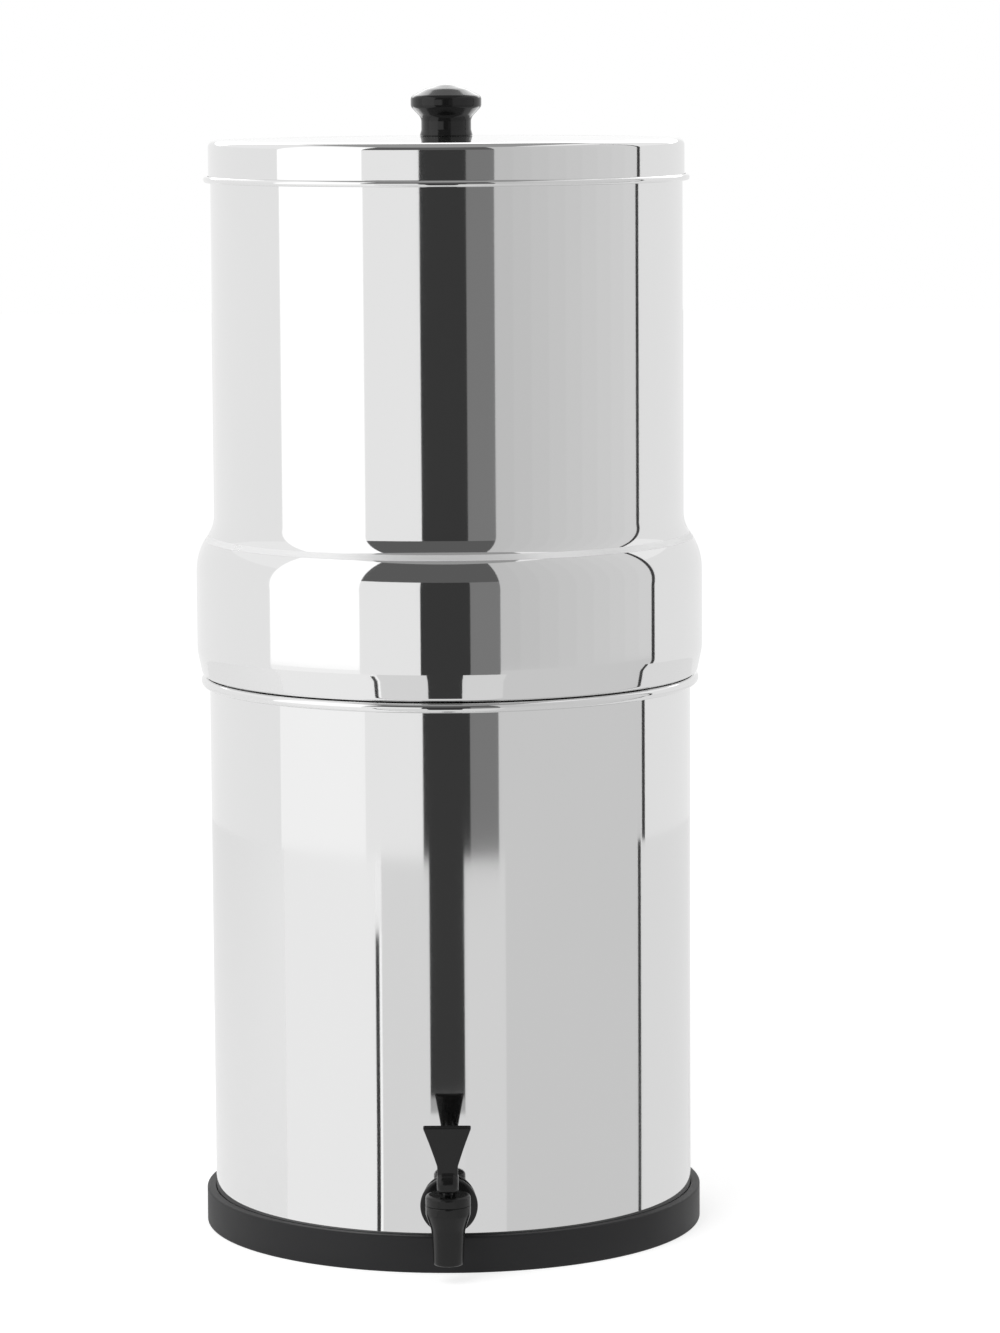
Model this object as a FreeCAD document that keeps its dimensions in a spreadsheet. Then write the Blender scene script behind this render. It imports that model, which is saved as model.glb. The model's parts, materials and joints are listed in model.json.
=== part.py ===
import FreeCAD, Part
import math
import os
import re

import Sketcher

# A countertop gravity water filter: two stacked steel chambers, a lid, and a tap on the lower one.
# Millimetres. +Z is up, the origin is the middle of the base ring's underside, the tap faces -Y.

doc = FreeCAD.newDocument("GravityWaterFilter")
sheet = doc.addObject("Spreadsheet::Sheet", "Sizes")

SIZES = {
    # base ring
    "ring_height": 18.0,
    "ring_lip": 3.0,
    "ring_lip_width": 16.0,
    "ring_wall": 4.5,
    "ring_fit": 0.15,
    "ring_round": 1.0,
    # both chambers
    "gauge": 0.8,
    "rim_bead": 5.0,
    "seat_gap": 0.3,
    # lower chamber
    "lower_radius": 120.65,
    "lower_height": 276.0,
    "lower_corner": 5.0,
    # upper chamber, its radii measured from the lower one it sits in
    "nest_depth": 14.0,
    "nest_gap": 1.15,
    "nest_corner": 4.0,
    "throat_round": 1.2,
    "shelf_out": 3.45,
    "shelf_corner": 2.5,
    "bulge_out": 6.05,
    "foot_rise": 12.5,
    "foot_round": 20.0,
    "bulge_rise": 61.7,
    "shoulder_rise": 13.0,
    "shoulder_low_round": 30.0,
    "shoulder_high_round": 18.0,
    "upper_inset": 3.05,
    "headroom": 51.9,
    # filter elements, two of them, and what holds them in the floor
    "block_radius": 34.0,
    "block_bore": 9.0,
    "block_bore_stop": 20.0,
    "block_height": 205.0,
    "cap_lip": 1.5,
    "cap_height": 8.0,
    "base_height": 12.0,
    "end_round": 2.0,
    "wall_gap": 20.0,
    "stem_radius": 4.8,
    "stem_length": 32.0,
    "stem_bore": 1.75,
    "hole_gap": 0.4,
    "washer_radius": 10.0,
    "washer_height": 2.0,
    "thread_fit": 0.05,
    "nut_radius": 8.5,
    "nut_height": 9.0,
    "wing_span": 36.0,
    "wing_height": 13.0,
    "wing_thickness": 3.0,
    "wing_round": 1.2,
    "plug_radius": 11.0,
    "plug_height": 5.0,
    # lid
    "lid_gap": 0.3,
    "lid_gauge": 0.7,
    "lid_skirt": 19.2,
    "lid_bead": 3.2,
    "lid_crown": 1.5,
    "lid_seat_radius": 16.0,
    # lid knob and its screw
    "knob_foot": 13.2,
    "knob_waist": 12.4,
    "knob_head": 17.6,
    "knob_crown": 10.5,
    "knob_foot_rise": 3.0,
    "knob_waist_rise": 6.0,
    "knob_flare_rise": 5.5,
    "knob_band": 5.0,
    "knob_crown_rise": 3.7,
    "knob_top_rise": 2.3,
    "knob_waist_round": 5.0,
    "knob_head_round": 2.6,
    "knob_crown_round": 14.0,
    "screw_radius": 2.5,
    "screw_reach": 14.0,
    "screw_head": 4.6,
    "screw_head_height": 3.0,
    "screw_hole_gap": 0.5,
    "knob_washer_radius": 7.5,
    "knob_washer_height": 1.0,
    # tap, from the wall outwards
    "tap_above_ring": 1.4,
    "tap_reach": 25.0,
    "flange_radius": 14.0,
    "flange_thickness": 3.0,
    "flange_round": 1.0,
    "gasket_radius": 12.5,
    "gasket_out": 2.0,
    "gasket_in": 2.7,
    "wrap_gap": 0.15,
    "shank_radius": 7.9,
    "shank_bore": 3.6,
    "shank_gap": 0.3,
    "shank_end": 3.0,
    "tap_nut_flats": 24.0,
    "tap_nut_height": 7.0,
    "neck_radius": 5.3,
    # valve body, heights measured from the tap's centre line
    "spout_drop": 23.8,
    "spout_tip": 7.2,
    "spout_root": 8.2,
    "spout_root_drop": 6.5,
    "spout_bore": 4.2,
    "spout_round": 0.8,
    "spout_root_round": 12.0,
    "barrel_radius": 10.9,
    "barrel_low": 1.0,
    "collar_radius": 9.3,
    "collar_rise": 2.7,
    "cavity_radius": 6.4,
    "seat_drop": 6.0,
    "bonnet_plate": 2.2,
    "bonnet_round": 1.6,
    # stem, seal and spring
    "valve_stem_radius": 2.0,
    "valve_stem_gap": 0.15,
    "seal_radius": 5.6,
    "seal_height": 5.0,
    "seal_hold": 2.0,
    "collet_radius": 5.2,
    "collet_height": 1.5,
    "spring_radius": 4.6,
    "spring_wire": 0.8,
    "spring_turns": 3.0,
    "spring_end_gap": 0.1,
    "eye_radius": 2.4,
    "eye_half_width": 1.8,
    # lever
    "pin_radius": 1.0,
    "pin_fit": 0.08,
    "pin_half_length": 5.0,
    "lever_travel": 55.0,
    "lever_lift": 3.8,
    "cam_lead": 105.0,
    "hub_radius": 6.2,
    "hub_width": 10.4,
    "hub_round": 1.6,
    "ear_radius": 3.4,
    "slot_gap": 0.4,
    "lever_lean": 17.0,
    "lever_neck": 9.6,
    "lever_paddle": 21.2,
    "paddle_width": 23.4,
    "paddle_thickness": 3.4,
    "paddle_round": 0.5,
    "rib_width": 4.6,
}

for row, (alias, number) in enumerate(SIZES.items(), start=1):
    sheet.set(f"A{row}", alias)
    sheet.set(f"B{row}", str(number))
    sheet.setAlias(f"B{row}", alias)
doc.recompute()

NAME = re.compile(r"[A-Za-z_]+")


def bound(text):
    """Writes an expression in the sheet's names as one the document understands."""
    return NAME.sub(lambda m: "Sizes." + m.group() if m.group() in SIZES else m.group(), text)


def value(text):
    """The number an expression has now."""
    return float(sheet.evalExpression(bound(text)))


# Heights and radii that follow from the sizes.
LOWER_RIM = "(ring_lip + lower_height)"
SHELF = f"({LOWER_RIM} + seat_gap)"
FLOOR = f"({SHELF} - nest_depth)"
FLOOR_TOP = f"({FLOOR} + gauge)"
ELEMENT_FOOT = f"({FLOOR_TOP} + washer_height)"
ELEMENT_TOP = f"({ELEMENT_FOOT} + base_height + block_height + cap_height)"
UPPER_RIM = f"({ELEMENT_TOP} + headroom)"
LID_TOP = f"({UPPER_RIM} + lid_gap + lid_gauge)"
KNOB_SEAT = f"({LID_TOP} + lid_crown)"
SCREW_SEAT = f"({KNOB_SEAT} - lid_gauge - knob_washer_height)"

UPPER_RADIUS = "(lower_radius - upper_inset)"
NEST_RADIUS = "(lower_radius - gauge - nest_gap)"
CAP_RADIUS = "(block_radius + cap_lip)"
HOLE_CIRCLE = f"({NEST_RADIUS} - gauge - {CAP_RADIUS} - wall_gap)"
LID_RADIUS = f"({UPPER_RADIUS} + lid_gap + lid_gauge)"

TAP_Y = "-(lower_radius + tap_reach)"
TAP_Z = "(ring_height + tap_above_ring + flange_radius)"
FLANGE_Y = "(tap_reach - gasket_out - flange_thickness)"
NUT_Y = "(tap_reach + gauge + gasket_in)"
SHANK_END_Y = f"({NUT_Y} + tap_nut_height + shank_end)"
BARREL_TOP = "(neck_radius + seat_gap)"
COLLAR_TOP = f"({BARREL_TOP} + collar_rise)"
BONNET_TOP = f"({COLLAR_TOP} + bonnet_plate)"
SEAL_FOOT = "(seat_gap - seat_drop)"
COLLET_TOP = f"({SEAL_FOOT} + seal_height + collet_height)"

# The lever's hub is a round cam set off the pin, so tilting it draws the stem up by lever_lift.
CAM_THROW = "(lever_lift / (cos(lever_travel - cam_lead) - cos(cam_lead)))"
HUB_OUT = f"({CAM_THROW} * sin(cam_lead))"
HUB_UP = f"(-{CAM_THROW} * cos(cam_lead))"
PIN_RISE = f"({BONNET_TOP} + seat_gap + hub_radius - {HUB_UP})"


def add_body(label, x="0", y="0", z="0"):
    body = doc.addObject("PartDesign::Body", label)
    body.Label = label
    for axis, text in (("x", x), ("y", y), ("z", z)):
        if text != "0":
            body.setExpression(f"Placement.Base.{axis}", bound(text))
    return body


def plane(body, role):
    return next(item for item in body.Origin.OriginFeatures if item.Role == role)


def new_sketch(body, name, role, lift="0", tilt="0", out="0"):
    """A sketch on one of the body's own planes, lifted along it, set off it and tilted about its X."""
    sketch = body.newObject("Sketcher::SketchObject", name)
    sketch.AttachmentSupport = [(plane(body, role), "")]
    sketch.MapMode = "FlatFace"
    if tilt != "0":
        sketch.AttachmentOffset = FreeCAD.Placement(
            FreeCAD.Vector(0, 0, 0), FreeCAD.Rotation(FreeCAD.Vector(1, 0, 0), value(tilt)))
        sketch.setExpression("AttachmentOffset.Rotation.Angle", bound(tilt))
    if lift != "0":
        sketch.setExpression("AttachmentOffset.Base.y", bound(lift))
    if out != "0":
        sketch.setExpression("AttachmentOffset.Base.z", bound(out))
    return sketch


def pin_point(sketch, geometry, vertex, x, y):
    """Ties one point of a sketch to two expressions, or to an axis where the distance is nothing."""
    for text, kind, axis in ((x, "DistanceX", -2), (y, "DistanceY", -1)):
        if text == "0":
            sketch.addConstraint(Sketcher.Constraint("PointOnObject", geometry, vertex, axis))
        else:
            index = sketch.addConstraint(
                Sketcher.Constraint(kind, -1, 1, geometry, vertex, value(text)))
            sketch.setExpression(f"Constraints[{index}]", bound(text))


def outline(body, name, role, points, **place):
    """A closed outline of straight lines through points given as pairs of expressions."""
    sketch = new_sketch(body, name, role, **place)
    corners = [FreeCAD.Vector(value(x), value(y), 0) for x, y in points]
    count = len(corners)
    for i in range(count):
        sketch.addGeometry(Part.LineSegment(corners[i], corners[(i + 1) % count]), False)
    for i in range(count):
        sketch.addConstraint(Sketcher.Constraint("Coincident", i, 2, (i + 1) % count, 1))
    for i, (x, y) in enumerate(points):
        pin_point(sketch, i, 1, x, y)
    return sketch


def circles(body, name, role, rounds, **place):
    """A sketch of circles, each given as (x, y, radius) in expressions."""
    sketch = new_sketch(body, name, role, **place)
    up = FreeCAD.Vector(0, 0, 1)
    for i, (x, y, radius) in enumerate(rounds):
        centre = FreeCAD.Vector(value(x), value(y), 0)
        sketch.addGeometry(Part.Circle(centre, up, value(radius)), False)
        if x == "0" and y == "0":
            sketch.addConstraint(Sketcher.Constraint("Coincident", i, 3, -1, 1))
        else:
            pin_point(sketch, i, 3, x, y)
        index = sketch.addConstraint(Sketcher.Constraint("Radius", i, value(radius)))
        sketch.setExpression(f"Constraints[{index}]", bound(radius))
    return sketch


def turn(body, sketch, cut=False):
    """Revolves a sketch about its own vertical axis, as material or as a cut."""
    kind = "Groove" if cut else "Revolution"
    feature = body.newObject(f"PartDesign::{kind}", f"{sketch.Name}_{kind}")
    feature.Profile = sketch
    feature.ReferenceAxis = (sketch, ["V_Axis"])
    feature.Angle = 360.0
    doc.recompute()
    return feature


def raise_pad(body, sketch, length, midplane=False, reverse=False):
    pad = body.newObject("PartDesign::Pad", f"{sketch.Name}_Pad")
    pad.Profile = sketch
    pad.setExpression("Length", bound(length))
    pad.Midplane = midplane
    pad.Reversed = reverse
    doc.recompute()
    return pad


def cut_pocket(body, sketch, length, midplane=False, reverse=False):
    """Pockets a sketch and makes sure that the cut took material away."""
    before = body.Shape.Volume
    pocket = body.newObject("PartDesign::Pocket", f"{sketch.Name}_Pocket")
    pocket.Profile = sketch
    pocket.setExpression("Length", bound(length))
    pocket.Midplane = midplane
    pocket.Reversed = reverse
    doc.recompute()
    if pocket.Shape.Volume > before - 1e-3:
        raise RuntimeError(f"{pocket.Name} cuts nothing")
    return pocket


def circle_edges(feature, radius, axis, at):
    """Names the feature's circular edges of this radius whose centre lies this far along an axis."""
    names = []
    for i, edge in enumerate(feature.Shape.Edges, start=1):
        try:
            curve = edge.Curve
        except TypeError:
            continue
        if curve.TypeId != "Part::GeomCircle" or abs(curve.Radius - value(radius)) > 0.01:
            continue
        if abs(abs(getattr(curve.Axis, axis)) - 1) < 1e-6 and any(
                abs(getattr(curve.Center, axis) - value(place)) < 0.01 for place in at):
            names.append(f"Edge{i}")
    return names


def round_edges(body, feature, names, radius):
    if not names:
        raise RuntimeError(f"{body.Label}: no edge to round")
    fillet = body.newObject("PartDesign::Fillet", f"{body.Label}_round")
    fillet.Base = (feature, names)
    fillet.setExpression("Radius", bound(radius))
    doc.recompute()
    return fillet


def round_rings(body, feature, rings):
    """Rounds circles about the vertical axis, each given as (radius, height, rounding)."""
    for radius, height, rounding in rings:
        names = circle_edges(feature, radius, "z", [height])
        feature = round_edges(body, feature, names, rounding)
    return feature


def hollow(body, feature, top, gauge):
    """Leaves a wall of this gauge inside the solid and opens it at the flat face of this height."""
    faces = [f"Face{i}" for i, face in enumerate(feature.Shape.Faces, start=1)
             if face.Surface.TypeId == "Part::GeomPlane"
             and abs(face.CenterOfMass.z - value(top)) < 1e-3]
    shell = body.newObject("PartDesign::Thickness", f"{body.Label}_wall")
    shell.Base = (feature, faces)
    shell.setExpression("Value", bound(gauge))
    shell.Reversed = True
    doc.recompute()
    return shell


def bead(body, radius, height, diameter):
    """A rolled edge: a ring of round section."""
    section = circles(body, f"{body.Label}_bead", "XZ_Plane", [(radius, height, f"{diameter} / 2")])
    return turn(body, section)


def pattern(body, feature, count):
    """Repeats a feature about the vertical axis."""
    polar = body.newObject("PartDesign::PolarPattern", f"{body.Label}_pattern")
    polar.Originals = [feature]
    polar.Axis = (plane(body, "Z_Axis"), [""])
    polar.Angle = 360.0
    polar.Occurrences = count
    body.Tip = polar
    doc.recompute()
    return polar


def primitive(kind, name, place=None, angle=0.0, axis=(1, 0, 0), **sizes):
    """A Part primitive whose sizes and position are expressions."""
    item = doc.addObject(f"Part::{kind}", name)
    item.Placement = FreeCAD.Placement(
        FreeCAD.Vector(0, 0, 0), FreeCAD.Rotation(FreeCAD.Vector(*axis), angle))
    for key, text in sizes.items():
        item.setExpression(key, bound(text))
    for key, text in zip("xyz", place or ()):
        if text != "0":
            item.setExpression(f"Placement.Base.{key}", bound(text))
    return item


def boolean(kind, label, base, tool):
    item = doc.addObject(f"Part::{kind}", label)
    item.Label = label
    item.Base = base
    item.Tool = tool
    doc.recompute()
    return item


def make_base_ring():
    """An L-shaped rubber ring: a lip under the chamber and a wall round its foot."""
    body = add_body("base_ring")
    fit = "(lower_radius + ring_fit)"
    outer = f"({fit} + ring_wall)"
    lip = "(lower_radius - ring_lip_width)"
    section = outline(body, "ring_section", "XZ_Plane", [
        (lip, "0"), (outer, "0"), (outer, "ring_height"), (fit, "ring_height"),
        (fit, "ring_lip"), (lip, "ring_lip")])
    ring = turn(body, section)
    round_rings(body, ring, [(outer, "ring_height", "ring_round"), (outer, "0", "ring_round")])
    return body


def make_lower_chamber():
    """The drawn steel pot that collects the filtered water, with its tap hole."""
    body = add_body("lower_chamber")
    bead_z = f"({LOWER_RIM} - rim_bead / 2)"
    section = outline(body, "lower_section", "XZ_Plane", [
        ("0", "ring_lip"), ("lower_radius", "ring_lip"), ("lower_radius", bead_z), ("0", bead_z)])
    pot = turn(body, section)
    pot = round_rings(body, pot, [("lower_radius", "ring_lip", "lower_corner")])
    hollow(body, pot, bead_z, "gauge")
    bead(body, "lower_radius - gauge + rim_bead / 2", bead_z, "rim_bead")
    hole = circles(body, "tap_hole", "XZ_Plane", [("0", TAP_Z, "shank_radius + shank_gap")])
    cut_pocket(body, hole, "lower_radius + 1", reverse=True)
    return body


def make_upper_chamber():
    """The steel pot that takes the raw water: a nested foot, a wide bulge and a narrow wall."""
    body = add_body("upper_chamber")
    bulge = "(lower_radius + bulge_out)"
    shelf = "(lower_radius + shelf_out)"
    foot = f"({SHELF} + foot_rise)"
    low = f"({SHELF} + bulge_rise)"
    high = f"({low} + shoulder_rise)"
    bead_z = f"({UPPER_RIM} - rim_bead / 2)"
    section = outline(body, "upper_section", "XZ_Plane", [
        ("0", FLOOR), (NEST_RADIUS, FLOOR), (NEST_RADIUS, SHELF), (shelf, SHELF), (bulge, foot),
        (bulge, low), (UPPER_RADIUS, high), (UPPER_RADIUS, bead_z), ("0", bead_z)])
    pot = turn(body, section)
    pot = round_rings(body, pot, [
        (NEST_RADIUS, FLOOR, "nest_corner"), (NEST_RADIUS, SHELF, "throat_round"),
        (shelf, SHELF, "shelf_corner"), (bulge, foot, "foot_round"),
        (bulge, low, "shoulder_low_round"), (UPPER_RADIUS, high, "shoulder_high_round")])
    hollow(body, pot, bead_z, "gauge")
    bead(body, f"{UPPER_RADIUS} - rim_bead / 2", bead_z, "rim_bead")
    hole = circles(body, "floor_hole", "XY_Plane", [(HOLE_CIRCLE, "0", "stem_radius + hole_gap")],
                   out=f"{FLOOR_TOP} + 1")
    pattern(body, cut_pocket(body, hole, "gauge + 2"), 4)
    return body


def make_lid():
    """A shallow cap with a small rolled brim, which slips over the upper chamber's rim."""
    body = add_body("lid")
    foot = f"({LID_TOP} - lid_skirt)"
    corner = "(rim_bead / 2 + lid_gap + lid_gauge)"
    edge = f"({LID_RADIUS} - 2 * {corner})"
    section = outline(body, "lid_section", "XZ_Plane", [
        ("0", foot), (LID_RADIUS, foot), (LID_RADIUS, LID_TOP), (edge, LID_TOP),
        ("lid_seat_radius", KNOB_SEAT), ("0", KNOB_SEAT)])
    cap = turn(body, section)
    cap = round_rings(body, cap, [(LID_RADIUS, LID_TOP, corner)])
    hollow(body, cap, foot, "lid_gauge")
    bead(body, f"{LID_RADIUS} - lid_gauge + lid_bead / 2", foot, "lid_bead")
    hole = circles(body, "screw_hole", "XY_Plane", [("0", "0", "screw_radius + screw_hole_gap")],
                   out=f"{KNOB_SEAT} + 1")
    cut_pocket(body, hole, "lid_gauge + 2")
    return body


def make_knob():
    body = add_body("lid_knob", z=KNOB_SEAT)
    waist_low = "knob_foot_rise"
    waist_high = f"({waist_low} + knob_waist_rise)"
    head_low = f"({waist_high} + knob_flare_rise)"
    head_high = f"({head_low} + knob_band)"
    crown = f"({head_high} + knob_crown_rise)"
    section = outline(body, "knob_section", "XZ_Plane", [
        ("0", "0"), ("knob_foot", "0"), ("knob_waist", waist_low), ("knob_waist", waist_high),
        ("knob_head", head_low), ("knob_head", head_high), ("knob_crown", crown),
        ("0", f"{crown} + knob_top_rise")])
    knob = turn(body, section)
    round_rings(body, knob, [
        ("knob_waist", waist_high, "knob_waist_round"), ("knob_head", head_low, "knob_head_round"),
        ("knob_head", head_high, "knob_head_round"), ("knob_crown", crown, "knob_crown_round")])
    hole = circles(body, "knob_hole", "XY_Plane", [("0", "0", "screw_radius + thread_fit")])
    cut_pocket(body, hole, "screw_reach + 1", reverse=True)
    return body


def make_knob_fixing():
    """The screw that holds the knob from inside the lid, and its washer."""
    washer = add_body("lid_knob_washer", z=SCREW_SEAT)
    ring = circles(washer, "knob_washer_ring", "XY_Plane", [
        ("0", "0", "knob_washer_radius"), ("0", "0", "screw_radius + screw_hole_gap")])
    raise_pad(washer, ring, "knob_washer_height")
    screw = add_body("lid_knob_screw", z=SCREW_SEAT)
    top = "(knob_washer_height + lid_gauge + screw_reach)"
    section = outline(screw, "screw_section", "XZ_Plane", [
        ("0", "-screw_head_height"), ("screw_head", "-screw_head_height"), ("screw_head", "0"),
        ("screw_radius", "0"), ("screw_radius", top), ("0", top)])
    shank = turn(screw, section)
    round_rings(screw, shank, [("screw_head", "-screw_head_height", "screw_head_height / 2")])


def make_element(side, sign):
    """One filter element: a carbon block with a cap on top and a base with a threaded stem."""
    place = {"x": f"{sign} * {HOLE_CIRCLE}"}
    block = add_body(f"carbon_block_{side}", z=f"{ELEMENT_FOOT} + base_height", **place)
    section = outline(block, f"block_section_{side}", "XZ_Plane", [
        ("block_bore", "0"), ("block_radius", "0"), ("block_radius", "block_height"),
        ("0", "block_height"), ("0", "block_height - block_bore_stop"),
        ("block_bore", "block_height - block_bore_stop")])
    turn(block, section)
    cap = add_body(f"element_cap_{side}", z=f"{ELEMENT_TOP} - cap_height", **place)
    disc = circles(cap, f"cap_disc_{side}", "XY_Plane", [("0", "0", CAP_RADIUS)])
    disc = raise_pad(cap, disc, "cap_height")
    round_rings(cap, disc, [(CAP_RADIUS, "cap_height", "end_round")])
    base = add_body(f"element_base_{side}", z=ELEMENT_FOOT, **place)
    section = outline(base, f"base_section_{side}", "XZ_Plane", [
        ("stem_bore", "-stem_length"), ("stem_radius", "-stem_length"), ("stem_radius", "0"),
        (CAP_RADIUS, "0"), (CAP_RADIUS, "base_height"), ("stem_bore", "base_height")])
    foot = turn(base, section)
    round_rings(base, foot, [(CAP_RADIUS, "0", "end_round")])


def make_floor_washers():
    body = add_body("floor_washers", z=FLOOR_TOP)
    ring = circles(body, "floor_washer_ring", "XY_Plane", [
        (HOLE_CIRCLE, "0", "washer_radius"), (HOLE_CIRCLE, "0", "stem_radius + thread_fit")])
    pattern(body, raise_pad(body, ring, "washer_height"), 4)
    return body


def make_wing_nuts():
    """Four wing nuts under the upper chamber's floor, one on each threaded stem."""
    hub = primitive("Cylinder", "nut_hub", (HOLE_CIRCLE, "0", f"{FLOOR} - nut_height"),
                    Radius="nut_radius", Height="nut_height")
    wings = primitive(
        "Box", "nut_wings",
        (f"{HOLE_CIRCLE} - wing_thickness / 2", "-wing_span / 2", f"{FLOOR} - wing_height"),
        Length="wing_thickness", Width="wing_span", Height="wing_height - wing_round")
    bore = primitive("Cylinder", "nut_bore", (HOLE_CIRCLE, "0", f"{FLOOR} - wing_height - 1"),
                     Radius="stem_radius + thread_fit", Height="wing_height + 2")
    nut = boolean("Cut", "one_wing_nut", boolean("Fuse", "nut_blank", hub, wings), bore)
    nuts = doc.addObject("Part::Feature", "wing_nuts")
    nuts.Label = "wing_nuts"
    copies = []
    for quarter in range(4):
        copy = nut.Shape.copy()
        copy.rotate(FreeCAD.Vector(0, 0, 0), FreeCAD.Vector(0, 0, 1), 90.0 * quarter)
        copies.append(copy)
    nuts.Shape = Part.makeCompound(copies)
    return nuts


def make_blocking_plugs():
    """Two plugs, front and back, in the floor holes that hold no element."""
    body = add_body("blocking_plugs", z=ELEMENT_FOOT)
    stem = circles(body, "plug_stem", "XY_Plane", [("0", HOLE_CIRCLE, "stem_radius")],
                   out="-stem_length")
    stem = raise_pad(body, stem, "stem_length + plug_height")
    head = circles(body, "plug_head", "XY_Plane", [("0", HOLE_CIRCLE, "plug_radius")])
    head = raise_pad(body, head, "plug_height")
    both = body.newObject("PartDesign::PolarPattern", "plug_pattern")
    both.Originals = [stem, head]
    both.Axis = (plane(body, "Z_Axis"), [""])
    both.Angle = 360.0
    both.Occurrences = 2
    body.Tip = both
    doc.recompute()
    return body


def make_tap_body():
    """Shank, flange, valve barrel and spout in one moulding, with its waterways."""
    body = add_body("tap_body", y=TAP_Y, z=TAP_Z)
    section = outline(body, "valve_section", "XZ_Plane", [
        ("0", "-spout_drop"), ("spout_tip", "-spout_drop"), ("spout_root", "-spout_root_drop"),
        ("barrel_radius", "barrel_low"), ("barrel_radius", BARREL_TOP),
        ("collar_radius", BARREL_TOP), ("collar_radius", COLLAR_TOP), ("0", COLLAR_TOP)])
    valve = turn(body, section)
    round_rings(body, valve, [("spout_tip", "-spout_drop", "spout_round"),
                              ("spout_root", "-spout_root_drop", "spout_root_round")])
    neck = circles(body, "neck", "XZ_Plane", [("0", "0", "neck_radius")])
    raise_pad(body, neck, FLANGE_Y, reverse=True)
    flange = circles(body, "flange", "XZ_Plane", [("0", "0", "flange_radius")], out=f"-{FLANGE_Y}")
    flange = raise_pad(body, flange, "flange_thickness", reverse=True)
    round_edges(body, flange, circle_edges(flange, "flange_radius", "y", [FLANGE_Y]), "flange_round")
    shank = circles(body, "shank", "XZ_Plane", [("0", "0", "shank_radius")],
                    out=f"-({FLANGE_Y} + flange_thickness)")
    raise_pad(body, shank, f"{SHANK_END_Y} - {FLANGE_Y} - flange_thickness", reverse=True)
    cavity = outline(body, "cavity_section", "XZ_Plane", [
        ("0", "-spout_drop - 1"), ("spout_bore", "-spout_drop - 1"), ("spout_bore", "-seat_drop"),
        ("cavity_radius", "-seat_drop"), ("cavity_radius", f"{COLLAR_TOP} + 1"),
        ("0", f"{COLLAR_TOP} + 1")])
    turn(body, cavity, cut=True)
    bore = circles(body, "shank_bore_hole", "XZ_Plane", [("0", "0", "shank_bore")])
    cut_pocket(body, bore, f"{SHANK_END_Y} + 1", reverse=False)
    return body


def make_tap_fixing():
    """The rubber washers either side of the wall, each shaped to it, and the nut inside."""
    def disc(name, radius, start, end):
        return primitive("Cylinder", name, ("0", f"{TAP_Y} + {end}", TAP_Z), 90.0,
                         Radius=radius, Height=f"{end} - {start}")

    clear = "shank_radius + thread_fit"
    outer_end = "(tap_reach + gauge)"
    start = "(tap_reach - gasket_out)"
    ring = boolean("Cut", "outer_ring", disc("outer_disc", "gasket_radius", start, outer_end),
                   disc("outer_bore", clear, f"({start} - 1)", f"({outer_end} + 1)"))
    wall = primitive("Cylinder", "outer_wall", Radius="lower_radius + wrap_gap",
                     Height=f"{TAP_Z} + 2 * flange_radius")
    boolean("Cut", "tap_outer_washer", ring, wall)
    ring = boolean("Cut", "inner_ring", disc("inner_disc", "gasket_radius", "tap_reach", NUT_Y),
                   disc("inner_bore", clear, "(tap_reach - 1)", f"({NUT_Y} + 1)"))
    wall = primitive("Cylinder", "inner_wall", Radius="lower_radius - gauge - wrap_gap",
                     Height=f"{TAP_Z} + 2 * flange_radius")
    boolean("Common", "tap_inner_washer", ring, wall)
    blank = primitive("Prism", "tap_nut_blank", ("0", f"{TAP_Y} + {NUT_Y} + tap_nut_height", TAP_Z),
                      90.0, Circumradius="tap_nut_flats / 2 / cos(30)", Height="tap_nut_height")
    blank.Polygon = 6
    boolean("Cut", "tap_nut", blank, disc("tap_nut_bore", clear, f"({NUT_Y} - 1)",
                                          f"({NUT_Y} + tap_nut_height + 1)"))


def make_bonnet():
    """The cap screwed over the valve barrel, with a hole for the stem."""
    body = add_body("tap_bonnet", y=TAP_Y, z=TAP_Z)
    inner = "(collar_radius + thread_fit)"
    hole = "(valve_stem_radius + valve_stem_gap)"
    section = outline(body, "bonnet_section", "XZ_Plane", [
        (hole, COLLAR_TOP), (inner, COLLAR_TOP), (inner, BARREL_TOP),
        ("barrel_radius", BARREL_TOP), ("barrel_radius", BONNET_TOP), (hole, BONNET_TOP)])
    cap = turn(body, section)
    round_rings(body, cap, [("barrel_radius", BONNET_TOP, "bonnet_round")])
    return body


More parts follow.
